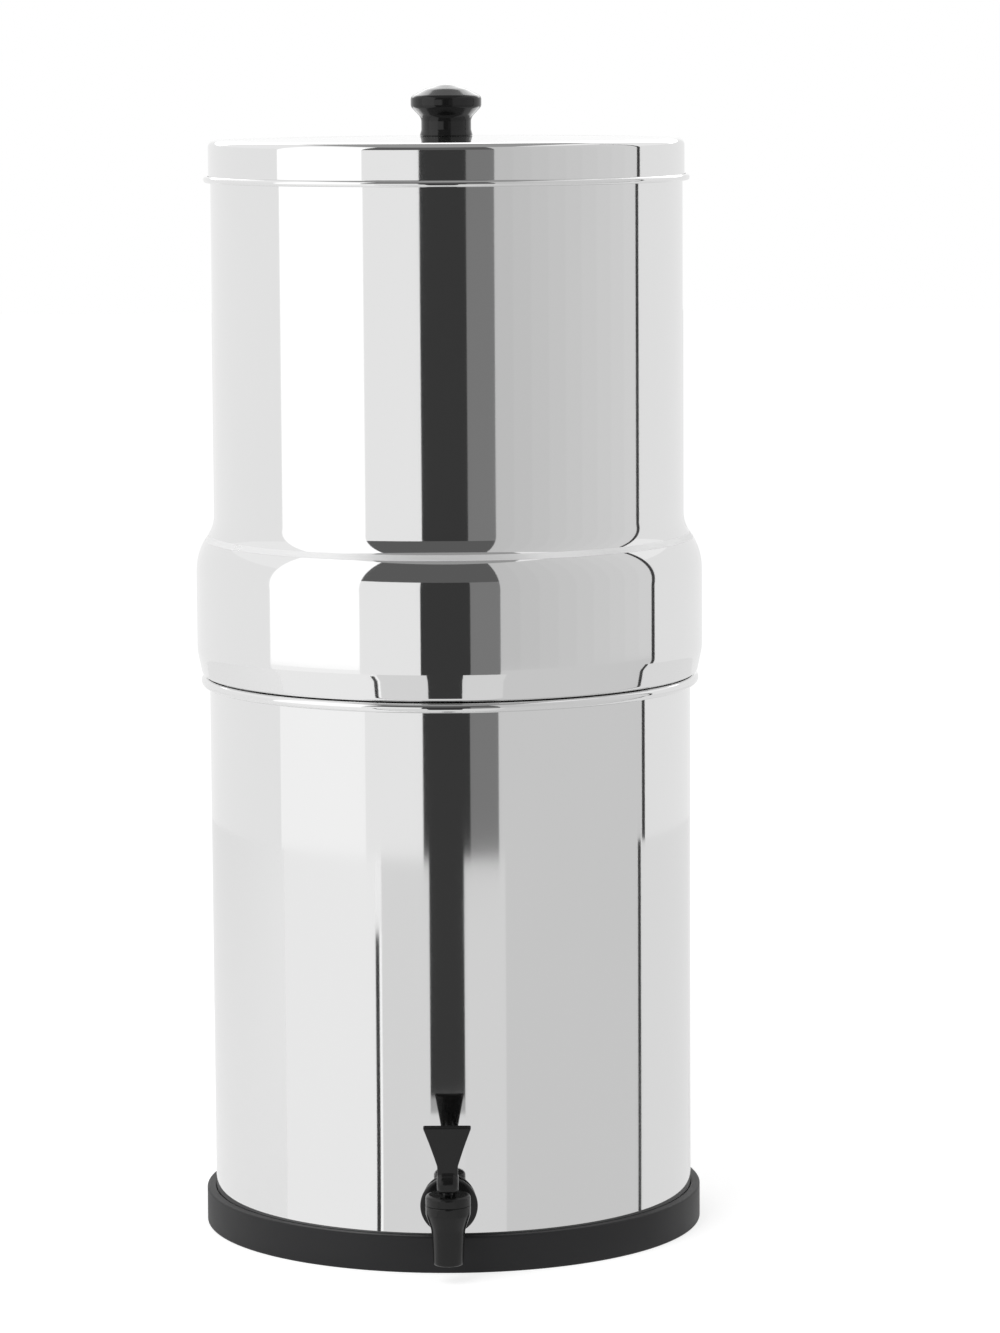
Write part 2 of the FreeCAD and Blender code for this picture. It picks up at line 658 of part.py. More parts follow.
def make_stem():
    """The valve stem: a collet that holds the seal cup, a rod, and an eye for the lever pin."""
    body = add_body("tap_stem", y=TAP_Y, z=TAP_Z)
    foot = f"({SEAL_FOOT} + seal_height - seal_hold)"
    collet = f"({SEAL_FOOT} + seal_height)"
    section = outline(body, "stem_section", "XZ_Plane", [
        ("0", foot), ("valve_stem_radius", foot), ("valve_stem_radius", collet),
        ("collet_radius", collet), ("collet_radius", COLLET_TOP),
        ("valve_stem_radius", COLLET_TOP), ("valve_stem_radius", PIN_RISE), ("0", PIN_RISE)])
    turn(body, section)
    eye = circles(body, "eye", "YZ_Plane", [("0", PIN_RISE, "eye_radius")])
    raise_pad(body, eye, "2 * eye_half_width", midplane=True)
    hole = circles(body, "eye_hole", "YZ_Plane", [("0", PIN_RISE, "pin_radius")])
    cut_pocket(body, hole, "4 * valve_stem_radius", midplane=True)
    cup = add_body("tap_seal_cup", y=TAP_Y, z=TAP_Z)
    section = outline(cup, "cup_section", "XZ_Plane", [
        ("0", SEAL_FOOT), ("seal_radius", SEAL_FOOT), ("seal_radius", collet),
        ("valve_stem_radius", collet), ("valve_stem_radius", foot), ("0", foot)])
    cup_solid = turn(cup, section)
    round_rings(cup, cup_solid, [("seal_radius", SEAL_FOOT, "seal_height / 5")])
    pin = add_body("lever_pin", y=TAP_Y, z=f"{TAP_Z} + {PIN_RISE}")
    round_pin = circles(pin, "pin_circle", "YZ_Plane", [("0", "0", "pin_radius")])
    raise_pad(pin, round_pin, "2 * pin_half_length", midplane=True)


def make_spring():
    """The closing spring, one unbroken wire wound from quarter-turn arcs."""
    wire = value("spring_wire")
    radius = value("spring_radius")
    low = value(COLLET_TOP) + value("spring_end_gap") + wire / 2
    high = value(COLLAR_TOP) - value("spring_end_gap") - wire / 2
    quarters = round(4 * value("spring_turns"))

    def at(quarter):
        angle = math.pi / 2 * quarter
        rise = low + (high - low) * quarter / quarters
        return FreeCAD.Vector(radius * math.cos(angle), radius * math.sin(angle), rise)

    arcs = [Part.Arc(at(i), at(i + 0.5), at(i + 1)).toShape() for i in range(quarters)]
    path = Part.Wire(arcs)
    start = arcs[0].tangentAt(arcs[0].FirstParameter)
    section = Part.Wire(Part.makeCircle(wire / 2, at(0), start))
    coil = path.makePipeShell([section], True, False)
    per_turn = 24
    points = [at(4 * i / per_turn) for i in range(per_turn * quarters // 4 + 1)]
    gap = min(points[i].distanceToPoint(points[j]) for i in range(len(points))
              for j in range(i + per_turn // 2, len(points))) - wire
    print("tap_spring: least gap to itself", round(gap, 2), "mm, volume against section x length",
          round(coil.Volume / (math.pi * wire * wire / 4 * path.Length), 3))
    spring = doc.addObject("Part::Feature", "tap_spring")
    spring.Label = "tap_spring"
    spring.Shape = Part.Solid(coil) if coil.ShapeType == "Shell" else coil
    spring.Placement = FreeCAD.Placement(FreeCAD.Vector(0, value(TAP_Y), value(TAP_Z)),
                                         FreeCAD.Rotation())
    return spring


def make_lever():
    """The lever: a cam hub on the pin, slotted for the stem, and a paddle that leans forward."""
    place = {"y": TAP_Y, "z": f"{TAP_Z} + {PIN_RISE}"}
    core = add_body("lever_core")
    hub = circles(core, "hub", "YZ_Plane", [(f"-{HUB_OUT}", HUB_UP, "hub_radius")])
    hub = raise_pad(core, hub, "hub_width", midplane=True)
    rims = circle_edges(hub, "hub_radius", "x", ["hub_width / 2", "-hub_width / 2"])
    round_edges(core, hub, rims, "hub_round")
    body = add_body("tap_lever", **place)
    half = "pin_half_length"
    paddle = outline(body, "paddle", "XZ_Plane", [
        (f"-{half}", "0"), (half, "0"), (half, "lever_neck"),
        ("paddle_width / 2", "lever_neck + lever_paddle"),
        ("-paddle_width / 2", "lever_neck + lever_paddle"), (f"-{half}", "lever_neck")],
        lift=HUB_UP, out=HUB_OUT, tilt="lever_lean")
    blade = raise_pad(body, paddle, "paddle_thickness", midplane=True)
    round_edges(body, blade, [f"Edge{i}" for i in range(1, len(blade.Shape.Edges) + 1)],
                "paddle_round")
    joined = body.newObject("PartDesign::Boolean", "lever_joined")
    joined.Type = "Fuse"
    joined.addObject(core)
    doc.recompute()
    ear = circles(body, "ear", "YZ_Plane", [("0", "0", "ear_radius")])
    raise_pad(body, ear, "2 * pin_half_length", midplane=True)
    lean = "lever_lean"
    along = "(lever_neck + lever_paddle * 0.8)"
    rib = outline(body, "rib", "YZ_Plane", [
        (f"-{HUB_OUT}", HUB_UP),
        (f"-{HUB_OUT} - {along} * sin({lean})", f"{HUB_UP} + {along} * cos({lean})"),
        (f"-{HUB_OUT} + (hub_radius - 1) * cos({lean})",
         f"{HUB_UP} + (hub_radius - 1) * sin({lean})")])
    raise_pad(body, rib, "rib_width", midplane=True)
    half = "(eye_radius + slot_gap)"
    reach = "(hub_radius * 2.5)"
    travel = "lever_travel"
    slot = outline(body, "slot", "YZ_Plane", [
        (reach, half), (f"-{half} * (1 - sin({travel})) / cos({travel})", half),
        (f"-({half} * cos({travel}) + {reach} * sin({travel}))",
         f"{half} * sin({travel}) - {reach} * cos({travel})"),
        (f"-({half} * cos({travel}) + {reach} * sin({travel}))", f"-{reach}"),
        (reach, f"-{reach}")])
    cut_pocket(body, slot, "2 * (valve_stem_radius + slot_gap)", midplane=True)
    hole = circles(body, "pin_hole", "YZ_Plane", [("0", "0", "pin_radius + pin_fit")])
    cut_pocket(body, hole, "2 * hub_width", midplane=True)
    return body


def make_all():
    make_base_ring()
    make_lower_chamber()
    make_upper_chamber()
    for side, sign in (("left", "-1"), ("right", "1")):
        make_element(side, sign)
    make_floor_washers()
    make_wing_nuts()
    make_blocking_plugs()
    make_lid()
    make_knob()
    make_knob_fixing()
    make_tap_body()
    make_tap_fixing()
    make_bonnet()
    make_stem()
    make_spring()
    make_lever()


NODES = [
    "base_ring", "lower_chamber", "tap_body", "tap_outer_washer", "tap_inner_washer", "tap_nut",
    "tap_bonnet", "tap_spring", "tap_stem", "tap_seal_cup", "lever_pin", "tap_lever",
    "upper_chamber", "carbon_block_left", "carbon_block_right", "element_cap_left",
    "element_cap_right", "element_base_left", "element_base_right", "floor_washers", "wing_nuts",
    "blocking_plugs", "lid", "lid_knob", "lid_knob_screw", "lid_knob_washer",
]


def export():
    """Checks every object, then writes each piece to its own file."""
    for item in doc.Objects:
        if any(word in str(state) for state in item.State for word in ("Invalid", "Error")):
            raise RuntimeError(f"{item.Name}: {item.State}")
    pieces = {item.Label: item for item in doc.Objects}
    for name in NODES:
        shape = pieces[name].Shape
        if shape.isNull() or not shape.isValid() or not shape.Solids:
            raise RuntimeError(f"{name} has no valid solid")
    os.makedirs("parts", exist_ok=True)
    for name in NODES:
        shape = pieces[name].Shape
        shape.exportStep(f"parts/{name}.step")
        print(f"{name}: {len(shape.Solids)} solid(s), {shape.Volume / 1000:.2f} cm3")


make_all()
doc.recompute()
export()
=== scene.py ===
"""A countertop gravity water filter: shells, knob, ring, tap, inner pieces and their finishes."""

import json
import math

import bmesh
import bpy
from bpy.props import FloatProperty, FloatVectorProperty, IntProperty, PointerProperty
from mathutils import Matrix, Vector


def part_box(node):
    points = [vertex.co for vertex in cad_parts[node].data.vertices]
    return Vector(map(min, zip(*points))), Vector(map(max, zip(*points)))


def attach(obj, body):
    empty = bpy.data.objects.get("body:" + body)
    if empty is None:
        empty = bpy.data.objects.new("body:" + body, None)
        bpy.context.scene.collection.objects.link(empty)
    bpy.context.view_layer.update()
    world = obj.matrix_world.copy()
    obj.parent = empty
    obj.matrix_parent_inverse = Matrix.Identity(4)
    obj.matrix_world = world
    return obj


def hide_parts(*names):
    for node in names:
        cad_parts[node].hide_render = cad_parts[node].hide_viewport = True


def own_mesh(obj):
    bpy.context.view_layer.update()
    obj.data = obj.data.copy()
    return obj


bl_info = {
    "name": "Gravity Water Filter",
    "version": (1, 0, 0),
    "blender": (4, 5, 0),
    "location": "View3D > Sidebar > Water Filter",
    "description": "Turns, moulds and finishes every piece of a two-chamber gravity water filter",
    "category": "Object",
}

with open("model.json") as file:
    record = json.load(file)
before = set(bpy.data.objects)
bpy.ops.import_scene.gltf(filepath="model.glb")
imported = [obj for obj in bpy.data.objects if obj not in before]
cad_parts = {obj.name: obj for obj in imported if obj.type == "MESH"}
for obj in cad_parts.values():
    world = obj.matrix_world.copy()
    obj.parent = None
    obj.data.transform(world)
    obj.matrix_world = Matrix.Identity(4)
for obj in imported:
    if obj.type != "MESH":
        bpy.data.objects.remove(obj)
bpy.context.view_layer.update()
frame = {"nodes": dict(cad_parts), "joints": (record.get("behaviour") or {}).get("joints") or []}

MM = 0.001
UP = Vector((0, 0, 1))
WHITE = (1, 1, 1, 1)
QUARTER = Matrix.Rotation(math.pi / 2, 4, "Z")
# Points closer together than this are the same point.
TOUCHING = 1e-6
# A row of points this far from a curve keeps the shading of the straight run beyond it straight.
HOLD = 0.9 * MM

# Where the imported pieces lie, which the pieces made here take over.
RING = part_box("base_ring")
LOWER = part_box("lower_chamber")
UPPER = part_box("upper_chamber")
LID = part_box("lid")
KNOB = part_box("lid_knob")
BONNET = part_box("tap_bonnet")
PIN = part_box("lever_pin")
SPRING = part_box("tap_spring")


def middle(box):
    return (box[0] + box[1]) / 2


TAP_LINE = middle(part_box("tap_outer_washer")).z
VALVE = Vector((0, middle(BONNET).y, TAP_LINE))


def joint(name):
    return next(j for j in frame["joints"] if j["name"] == name)


def length(name, description, millimetres):
    """A size that a user may change, kept in metres."""
    return FloatProperty(name=name, description=description, default=millimetres * MM,
                         unit="LENGTH", precision=5)


def share(name, description, default):
    return FloatProperty(name=name, description=description, default=default,
                         min=0.0, max=1.0, subtype="FACTOR")


def tint(name, description, red, green, blue):
    return FloatVectorProperty(name=name, description=description, default=(red, green, blue),
                               min=0.0, max=1.0, size=3, subtype="COLOR")


def turn_angle(name, description, degrees):
    return FloatProperty(name=name, description=description, default=math.radians(degrees),
                         unit="ROTATION")


class ChamberSizes(bpy.types.PropertyGroup):
    steps: IntProperty(name="Steps", description="Faces round the axis of a steel shell",
                       default=288, min=24)
    gauge: length("Gauge", "Thickness of the steel sheet", 0.8)
    rim_bead: length("Rim bead", "Thickness of the rolled rim", 5.0)
    lower_radius: length("Lower radius", "Outer radius of the lower chamber", 120.65)
    lower_corner: length("Lower corner", "Rounding at the lower chamber's foot", 5.0)
    upper_radius: length("Upper radius", "Outer radius of the upper chamber's wall", 117.6)
    nest_radius: length("Nest radius", "Radius of the foot that sits in the lower chamber", 118.7)
    nest_depth: length("Nest depth", "Height of that foot", 14.0)
    nest_corner: length("Nest corner", "Rounding at the foot's floor", 4.0)
    throat_round: length("Throat", "Inner rounding where foot and shelf meet", 1.2)
    shelf_radius: length("Shelf radius", "Outer radius of the shelf that rests on the rim", 124.1)
    shelf_corner: length("Shelf corner", "Rounding of that shelf", 2.5)
    foot_rise: length("Foot rise", "Height over which the shelf widens to the bulge", 12.5)
    foot_round: length("Foot round", "Rounding where the bulge begins", 20.0)
    bulge_rise: length("Bulge rise", "Height of the shoulder above the shelf", 61.7)
    shoulder_rise: length("Shoulder rise", "Height over which the bulge narrows", 13.0)
    shoulder_low_round: length("Shoulder below", "Rounding at the shoulder's foot", 30.0)
    shoulder_high_round: length("Shoulder above", "Rounding at the shoulder's top", 18.0)
    hole_circle: length("Hole circle", "Radius of the circle of floor holes", 62.4)
    hole_radius: length("Hole radius", "Radius of a floor hole", 5.2)
    tap_hole: length("Tap hole", "Radius of the hole for the tap", 8.2)


class LidSizes(bpy.types.PropertyGroup):
    gauge: length("Gauge", "Thickness of the lid's sheet", 0.7)
    radius: length("Radius", "Outer radius of the skirt", 118.6)
    bead: length("Brim bead", "Thickness of the rolled brim", 3.2)
    corner: length("Corner", "Rounding between top and skirt", 3.5)
    crown: length("Crown", "Rise of the top towards its middle", 1.5)
    seat_radius: length("Seat", "Radius of the flat seat under the knob", 16.0)
    seat_round: length("Seat round", "Rounding at the seat's edge", 8.0)
    hole_radius: length("Hole", "Radius of the hole for the knob's screw", 3.0)


class KnobSizes(bpy.types.PropertyGroup):
    foot: length("Foot", "Radius at the knob's foot", 13.2)
    waist: length("Waist", "Radius of the knob's waist", 12.4)
    head: length("Head", "Radius of the knob's head", 17.6)
    crown: length("Crown", "Radius where the crown begins", 10.5)
    foot_rise: length("Foot rise", "Height of the tapered foot", 3.0)
    waist_rise: length("Waist rise", "Height of the waist", 6.0)
    flare_rise: length("Flare rise", "Height of the flare under the head", 5.5)
    band: length("Band", "Height of the head's upright band", 5.0)
    crown_rise: length("Crown rise", "Height of the slope up to the crown", 3.7)
    foot_edge: length("Foot edge", "Rounding of the foot's edge", 0.5)
    foot_round: length("Foot round", "Rounding where foot and waist meet", 3.0)
    waist_round: length("Waist round", "Rounding above the waist", 5.0)
    head_round: length("Head round", "Rounding of the head's edges", 2.6)
    crown_round: length("Crown round", "Rounding of the crown", 14.0)
    bore: length("Bore", "Radius of the screw's bore", 2.55)
    bore_depth: length("Bore depth", "Depth of the screw's bore", 15.0)


class RingSizes(bpy.types.PropertyGroup):
    lip: length("Lip", "Thickness of the lip under the chamber", 3.0)
    reach: length("Reach", "How far the lip reaches under the chamber", 16.0)
    fit: length("Fit", "Radius of the wall's inner side", 120.8)
    edge: length("Edge", "Rounding of the outer edges", 1.0)
    inner_edge: length("Inner edge", "Rounding of the inner edges", 0.6)


class TapSizes(bpy.types.PropertyGroup):
    flange_radius: length("Flange", "Radius of the flange against the wall", 14.0)
    flange_thickness: length("Flange thickness", "Thickness of the flange", 3.0)
    flange_out: length("Flange face", "From the valve's axis to the flange", 20.0)
    flange_round: length("Flange round", "Rounding of the flange's edge", 1.0)
    neck_radius: length("Neck", "Radius of the neck between valve and flange", 5.3)
    neck_round: length("Neck round", "Rounding where neck and flange meet", 1.6)
    shank_core: length("Shank core", "Radius of the shank under its thread", 7.3)
    shank_bore: length("Shank bore", "Radius of the waterway through the shank", 3.6)
    spout_drop: length("Spout drop", "From the tap's centre line down to the spout's tip", 23.8)
    spout_tip: length("Spout tip", "Radius at the tip", 7.2)
    spout_root: length("Spout root", "Radius at the root", 8.2)
    spout_root_drop: length("Root drop", "From the centre line down to the root", 6.5)
    spout_root_round: length("Root round", "Rounding where spout and barrel meet", 12.0)
    spout_bore: length("Spout bore", "Radius of the spout's bore", 4.2)
    spout_edge: length("Spout edge", "Rounding of the tip's edge", 0.8)
    barrel_radius: length("Barrel", "Radius of the valve barrel", 10.9)
    barrel_low: length("Barrel foot", "From the centre line up to the barrel's foot", 1.0)
    barrel_round: length("Barrel round", "Rounding at the barrel's foot", 1.5)
    collar_radius: length("Collar", "Radius of the collar inside the bonnet", 9.3)
    collar_rise: length("Collar rise", "Height of that collar", 2.7)
    collar_fit: length("Collar fit", "Gap between collar and bonnet", 0.05)
    cavity_radius: length("Cavity", "Radius of the valve's cavity", 6.4)
    seat_drop: length("Seat drop", "From the centre line down to the valve's seat", 6.0)
    bonnet_round: length("Bonnet round", "Rounding of the bonnet's top edge", 1.6)
    bonnet_foot: length("Bonnet foot", "Rounding of the bonnet's lower edge", 0.15)
    bonnet_hole: length("Bonnet hole", "Radius of the hole for the stem", 2.15)
    voxel: length("Mould grain", "Size of the cells that blend a moulding", 0.42)
    spring_wire: length("Spring wire", "Thickness of the spring's wire", 0.8)
    spring_turns: FloatProperty(name="Spring turns", description="Turns of the closing spring",
                                default=3.0, min=1.0)


class LeverSizes(bpy.types.PropertyGroup):
    hub_radius: length("Hub", "Radius of the cam hub", 6.2)
    hub_width: length("Hub width", "Width of the cam hub", 10.4)
    hub_round: length("Hub round", "Rounding of the hub's edges", 3.2)
    hub_out: length("Hub out", "From the pin forward to the hub's middle", 4.071)
    hub_up: length("Hub up", "From the pin up to the hub's middle", 1.091)
    lean: turn_angle("Lean", "Forward lean of the paddle", 17.0)
    neck: length("Neck", "Length of the narrow neck", 9.6)
    neck_half: length("Half neck", "Half the neck's width", 5.0)
    paddle: length("Paddle", "Length of the flared paddle", 21.2)
    paddle_half: length("Half paddle", "Half the paddle's width at its top", 11.7)
    thickness: length("Thickness", "Thickness of the paddle", 3.4)
    waist: length("Waist", "How far the paddle's sides bow inwards", 0.2)
    ear: length("Ear", "Radius of the ears round the pin", 3.4)
    edge: length("Edge", "Rounding of the edges of ears and paddle", 0.5)
    rib_edge: length("Rib edge", "Rounding of the rib's edges", 0.3)
    rib_reach: share("Rib reach", "How far up the paddle the rib goes", 0.8)
    voxel: length("Mould grain", "Size of the cells that blend the lever", 0.34)
    rib_half: length("Half rib", "Half the width of the rib behind the paddle", 2.3)
    slot_half: length("Half slot", "Half the width of the slot for the stem", 2.4)
    eye_room: length("Eye room", "Half the height of the slot round the stem's eye", 2.8)
    pin_hole: length("Pin hole", "Radius of the hole for the pin", 1.08)


class InnerSizes(bpy.types.PropertyGroup):
    block_radius: length("Block", "Radius of a carbon block", 34.0)
    block_edge: length("Block edge", "Rounding of a block's edges", 0.8)
    cap_edge: length("Cap edge", "Rounding of a cap's edge", 2.0)
    cap_dish: length("Cap dish", "Depth of the shallow dish in a cap", 1.2)
    dish_brim: share("Dish brim", "The dish's brim, as a share of the cap's radius", 0.72)
    dish_floor: share("Dish floor", "The dish's floor, as a share of the cap's radius", 0.66)
    stem_radius: length("Stem", "Radius of a threaded stem", 4.8)
    washer_radius: length("Washer", "Radius of a floor washer", 10.0)
    washer_edge: length("Washer edge", "Rounding of a washer's edges", 0.6)
    nut_radius: length("Wing nut", "Radius of a wing nut's hub", 8.5)
    nut_height: length("Nut height", "Height of a wing nut's hub", 9.0)
    wing_half: length("Half span", "Half the span of the wings", 18.0)
    wing_height: length("Wing height", "Height of the wings", 11.8)
    wing_thickness: length("Wing thickness", "Thickness of the wings", 3.0)
    plug_radius: length("Plug", "Radius of a blocking plug's head", 11.0)
    plug_height: length("Plug height", "Height of a blocking plug's head", 5.0)
    plug_edge: length("Plug edge", "Rounding of that head", 1.2)


class FinishSettings(bpy.types.PropertyGroup):
    steel: tint("Steel", "Polished stainless steel", 0.80, 0.80, 0.80)
    steel_roughness: share("Polish", "Roughness of the polished steel", 0.045)
    satin: tint("Satin steel", "Unpolished inner side of the shells", 0.80, 0.80, 0.80)
    satin_roughness: share("Satin", "Roughness of the inner side", 0.30)
    rubber: tint("Rubber", "Black rubber of the base ring", 0.014, 0.014, 0.015)
    knob: tint("Knob", "Glossy black knob", 0.009, 0.009, 0.009)
    tap: tint("Tap", "Black moulding of the tap", 0.008, 0.008, 0.008)
    white_plastic: tint("Nut", "White moulded nuts and plugs", 0.78, 0.78, 0.75)
    silicone: tint("Silicone", "Grey silicone of the valve's seal", 0.52, 0.53, 0.52)
    carbon: tint("Carbon", "Pressed carbon of the filter blocks", 0.022, 0.022, 0.024)
    cap: tint("Cap", "Moulded caps and bases of the filter elements", 0.03, 0.03, 0.032)
    wire: tint("Wire", "Spring wire, pin and screw", 0.56, 0.56, 0.57)


class StageSettings(bpy.types.PropertyGroup):
    camera_distance: length("Camera distance", "From the filter's axis to the camera", 2518.5)
    camera_height: length("Camera height", "Height of the camera", 588.3)
    azimuth: turn_angle("Azimuth", "How far the camera stands to the right of the tap", 1.1)
    pitch: turn_angle("Pitch", "How far the camera looks down", 6.945)
    pan: turn_angle("Pan", "How far the camera looks past the axis to the right", 0.572)
    roll: turn_angle("Roll", "How far the camera is tipped", -0.343)
    lens: FloatProperty(name="Lens", description="Focal length for a 36 mm sensor",
                        default=136.07, unit="CAMERA")
    ambient: FloatProperty(name="Ambient", description="Strength of the even light", default=0.62)
    lamp: FloatProperty(name="Lamp", description="Power of the soft lamp", default=26.0,
                        unit="POWER")
    lamp_width: length("Lamp width", "Width of the soft lamp", 1600.0)
    lamp_depth: length("Lamp depth", "Depth of the soft lamp", 1200.0)
    floor_half: length("Floor", "Half the floor's side", 9000.0)
    card_distance: length("Card distance", "From the axis to the reflection cards", 1380.0)


class FilterSettings(bpy.types.PropertyGroup):
    chambers: PointerProperty(type=ChamberSizes, name="Chambers", description="Steel chambers")
    lid: PointerProperty(type=LidSizes, name="Lid", description="Steel lid")
    knob: PointerProperty(type=KnobSizes, name="Knob", description="Lid knob")
    ring: PointerProperty(type=RingSizes, name="Ring", description="Rubber base ring")
    tap: PointerProperty(type=TapSizes, name="Tap", description="Tap and valve")
    lever: PointerProperty(type=LeverSizes, name="Lever", description="Tap lever")
    inner: PointerProperty(type=InnerSizes, name="Inside", description="Filter elements")
    finishes: PointerProperty(type=FinishSettings, name="Finishes", description="Colours")
    stage: PointerProperty(type=StageSettings, name="Stage", description="Camera and light")


def add(tree, kind, *sockets, output=0, **named):
    """Adds a node and returns one of its outputs.

    Values without a name fill its sockets in order. A capitalised name is a socket's, and any
    other is a setting's. A socket given as a value is linked.
    """
    node = tree.nodes.new(kind)
    fills = dict(enumerate(sockets))
    for key, value in named.items():
        if key[0].islower():
            setattr(node, key, value)
        else:
            fills[key.replace("_", " ")] = value
    for key, value in fills.items():
        if isinstance(value, bpy.types.NodeSocket):
            tree.links.new(value, node.inputs[key])
        else:
            node.inputs[key].default_value = value
    return node.outputs[output] if node.outputs else None


def shader_tree(name):
    """A fresh material and its node tree."""
    material = bpy.data.materials.new(name)
    material.use_nodes = True
    material.node_tree.nodes.clear()
    return material, material.node_tree


def scaled_noise(tree, scale, stretch=(1, 1, 1), detail=2.0):
    """Noise on the object's coordinates, finer along the axes that are stretched."""
    place = add(tree, "ShaderNodeTexCoord", output="Object")
    mapping = add(tree, "ShaderNodeMapping", Vector=place, Scale=stretch)
    return add(tree, "ShaderNodeTexNoise", Vector=mapping, Scale=scale, Detail=detail,
               Roughness=0.55)


def ranged(tree, source, low, high):
    """The middle part of a noise's values, spread from low to high."""
    return add(tree, "ShaderNodeMapRange", Value=source, From_Min=0.3, From_Max=0.7, To_Min=low,
               To_Max=high)


def mottled(tree, source, colour, spread):
    """The colour, a little darker and lighter by turns."""
    mix = add(tree, "ShaderNodeMix", source, data_type="RGBA", output=2)
    for index, factor in ((6, 1 - spread), (7, 1 + spread)):
        mix.node.inputs[index].default_value = [min(1.0, c * factor) for c in colour] + [1]
    return mix


def bumped(tree, height, relief, strength=1.0, **sockets):
    """Surface relief, with its depth in millimetres."""
    return add(tree, "ShaderNodeBump", Strength=strength, Distance=relief * MM, Height=height,
               **sockets)


def surfaced(tree, **sockets):
    surface = add(tree, "ShaderNodeBsdfPrincipled", **sockets)
    add(tree, "ShaderNodeOutputMaterial", Surface=surface)


def finish(name, colour, roughness, tone=0.12, gloss_spread=0.05, grain=900.0, relief=0.02,
           patch=25.0, **sockets):
    """A moulded or rubbery finish: mottled colour, uneven gloss and a fine grain."""
    material, tree = shader_tree(name)
    patches = scaled_noise(tree, patch)
    surfaced(tree, Normal=bumped(tree, scaled_noise(tree, grain), relief),
             Base_Color=mottled(tree, patches, colour, tone),
             Roughness=ranged(tree, patches, roughness - gloss_spread, roughness + gloss_spread),
             **sockets)
    return material


def polished_steel(name, colour, roughness):
    """Mirror finish: a slow waviness of the sheet and faint polishing lines round the axis."""
    material, tree = shader_tree(name)
    sheet = scaled_noise(tree, 9.0, (1, 1, 0.45), 1.0)
    lines = scaled_noise(tree, 60.0, (1, 1, 60))
    smears = scaled_noise(tree, 14.0, (1, 1, 0.6), 3.0)
    wave = bumped(tree, sheet, 0.05)
    surfaced(tree, Normal=bumped(tree, lines, 0.0006, 0.25, Normal=wave), Metallic=1.0,
             Base_Color=mottled(tree, smears, colour, 0.012),
             Roughness=ranged(tree, smears, roughness - 0.012, roughness + 0.02))
    return material


def satin_steel(name, colour, roughness, lines, metallic):
    """Dull drawn steel with close lines round the axis."""
    material, tree = shader_tree(name)
    drawn = scaled_noise(tree, lines, (0.4, 0.4, 12), 3.0)
    patches = scaled_noise(tree, 20.0)
    surfaced(tree, Normal=bumped(tree, drawn, 0.004, 0.5), Metallic=metallic,
             Base_Color=mottled(tree, drawn, colour, 0.06),
             Roughness=ranged(tree, patches, roughness - 0.04, roughness + 0.05))
    return material


def material_of(name):
    """One of the finishes, made the first time it is asked for. washer_rubber is not made here: it
    must already be there.
    """
    if name in bpy.data.materials:
        return bpy.data.materials[name]
    s = bpy.context.scene.water_filter.finishes
    maker, *values, extra = {
        "polished_steel": (polished_steel, s.steel, s.steel_roughness, {}),
        "satin_inside": (satin_steel, s.satin, s.satin_roughness, 140.0, 0.6, {}),
        "drawn_wire": (satin_steel, s.wire, 0.28, 400.0, 1.0, {}),
        "ring_rubber": (finish, s.rubber, 0.52, {
            "tone": 0.16, "grain": 1400.0, "relief": 0.03, "patch": 18.0,
            "Specular_IOR_Level": 0.28}),
        "knob_gloss": (finish, s.knob, 0.13, {
            "tone": 0.1, "gloss_spread": 0.03, "grain": 260.0, "relief": 0.004,
            "Specular_IOR_Level": 0.35}),
        "tap_gloss": (finish, s.tap, 0.17, {
            "gloss_spread": 0.03, "grain": 700.0, "relief": 0.006, "Specular_IOR_Level": 0.3}),
        "stem_black": (finish, s.cap, 0.4, {"grain": 800.0, "relief": 0.01}),
        "nut_white": (finish, s.white_plastic, 0.38, {
            "tone": 0.04, "grain": 700.0, "relief": 0.01}),
        "seal_grey": (finish, s.silicone, 0.45, {
            "tone": 0.05, "grain": 500.0, "relief": 0.008, "Subsurface_Weight": 0.15}),
        "carbon_grain": (finish, s.carbon, 0.82, {
            "tone": 0.45, "grain": 1700.0, "relief": 0.12, "patch": 900.0,
            "Specular_IOR_Level": 0.3}),
        "element_black": (finish, s.cap, 0.48, {"grain": 1000.0}),
    }[name]
    return maker(name, *values, **extra)


def rounded(corners, arc_step=5.0, hold=HOLD):
    """An outline through (radius, height, rounding) corners, its rounds cut every few degrees."""
    points = [Vector(corners[0][:2])]
    for before, here, after in zip(corners, corners[1:], corners[2:]):
        corner, rounding = Vector(here[:2]), here[2]
        back = Vector(before[:2]) - corner
        ahead = Vector(after[:2]) - corner
        half = back.angle(ahead) / 2
        if rounding == 0 or half > math.radians(89.9):
            points.append(corner)
            continue
        reach = rounding / math.tan(half)
        towards_back, towards_ahead = back.normalized(), ahead.normalized()
        centre = corner + (towards_back + towards_ahead).normalized() * rounding / math.sin(half)
        first = corner + towards_back * reach
        arm = first - centre
        end_arm = corner + towards_ahead * reach - centre
        sweep = math.copysign(math.pi - 2 * half, arm.x * end_arm.y - arm.y * end_arm.x)
        steps = max(3, math.ceil(abs(sweep) / math.radians(arc_step)))
        if (points[-1] - first).length > 2 * hold:
            points.append(first + towards_back * hold)
        for k in range(steps + 1):
            points.append(centre + Matrix.Rotation(sweep * k / steps, 2) @ arm)
        if ahead.length > reach + 2 * hold:
            points.append(points[-1] + towards_ahead * hold)
    points.append(Vector(corners[-1][:2]))
    return [p for i, p in enumerate(points) if i == 0 or (p - points[i - 1]).length > TOUCHING]


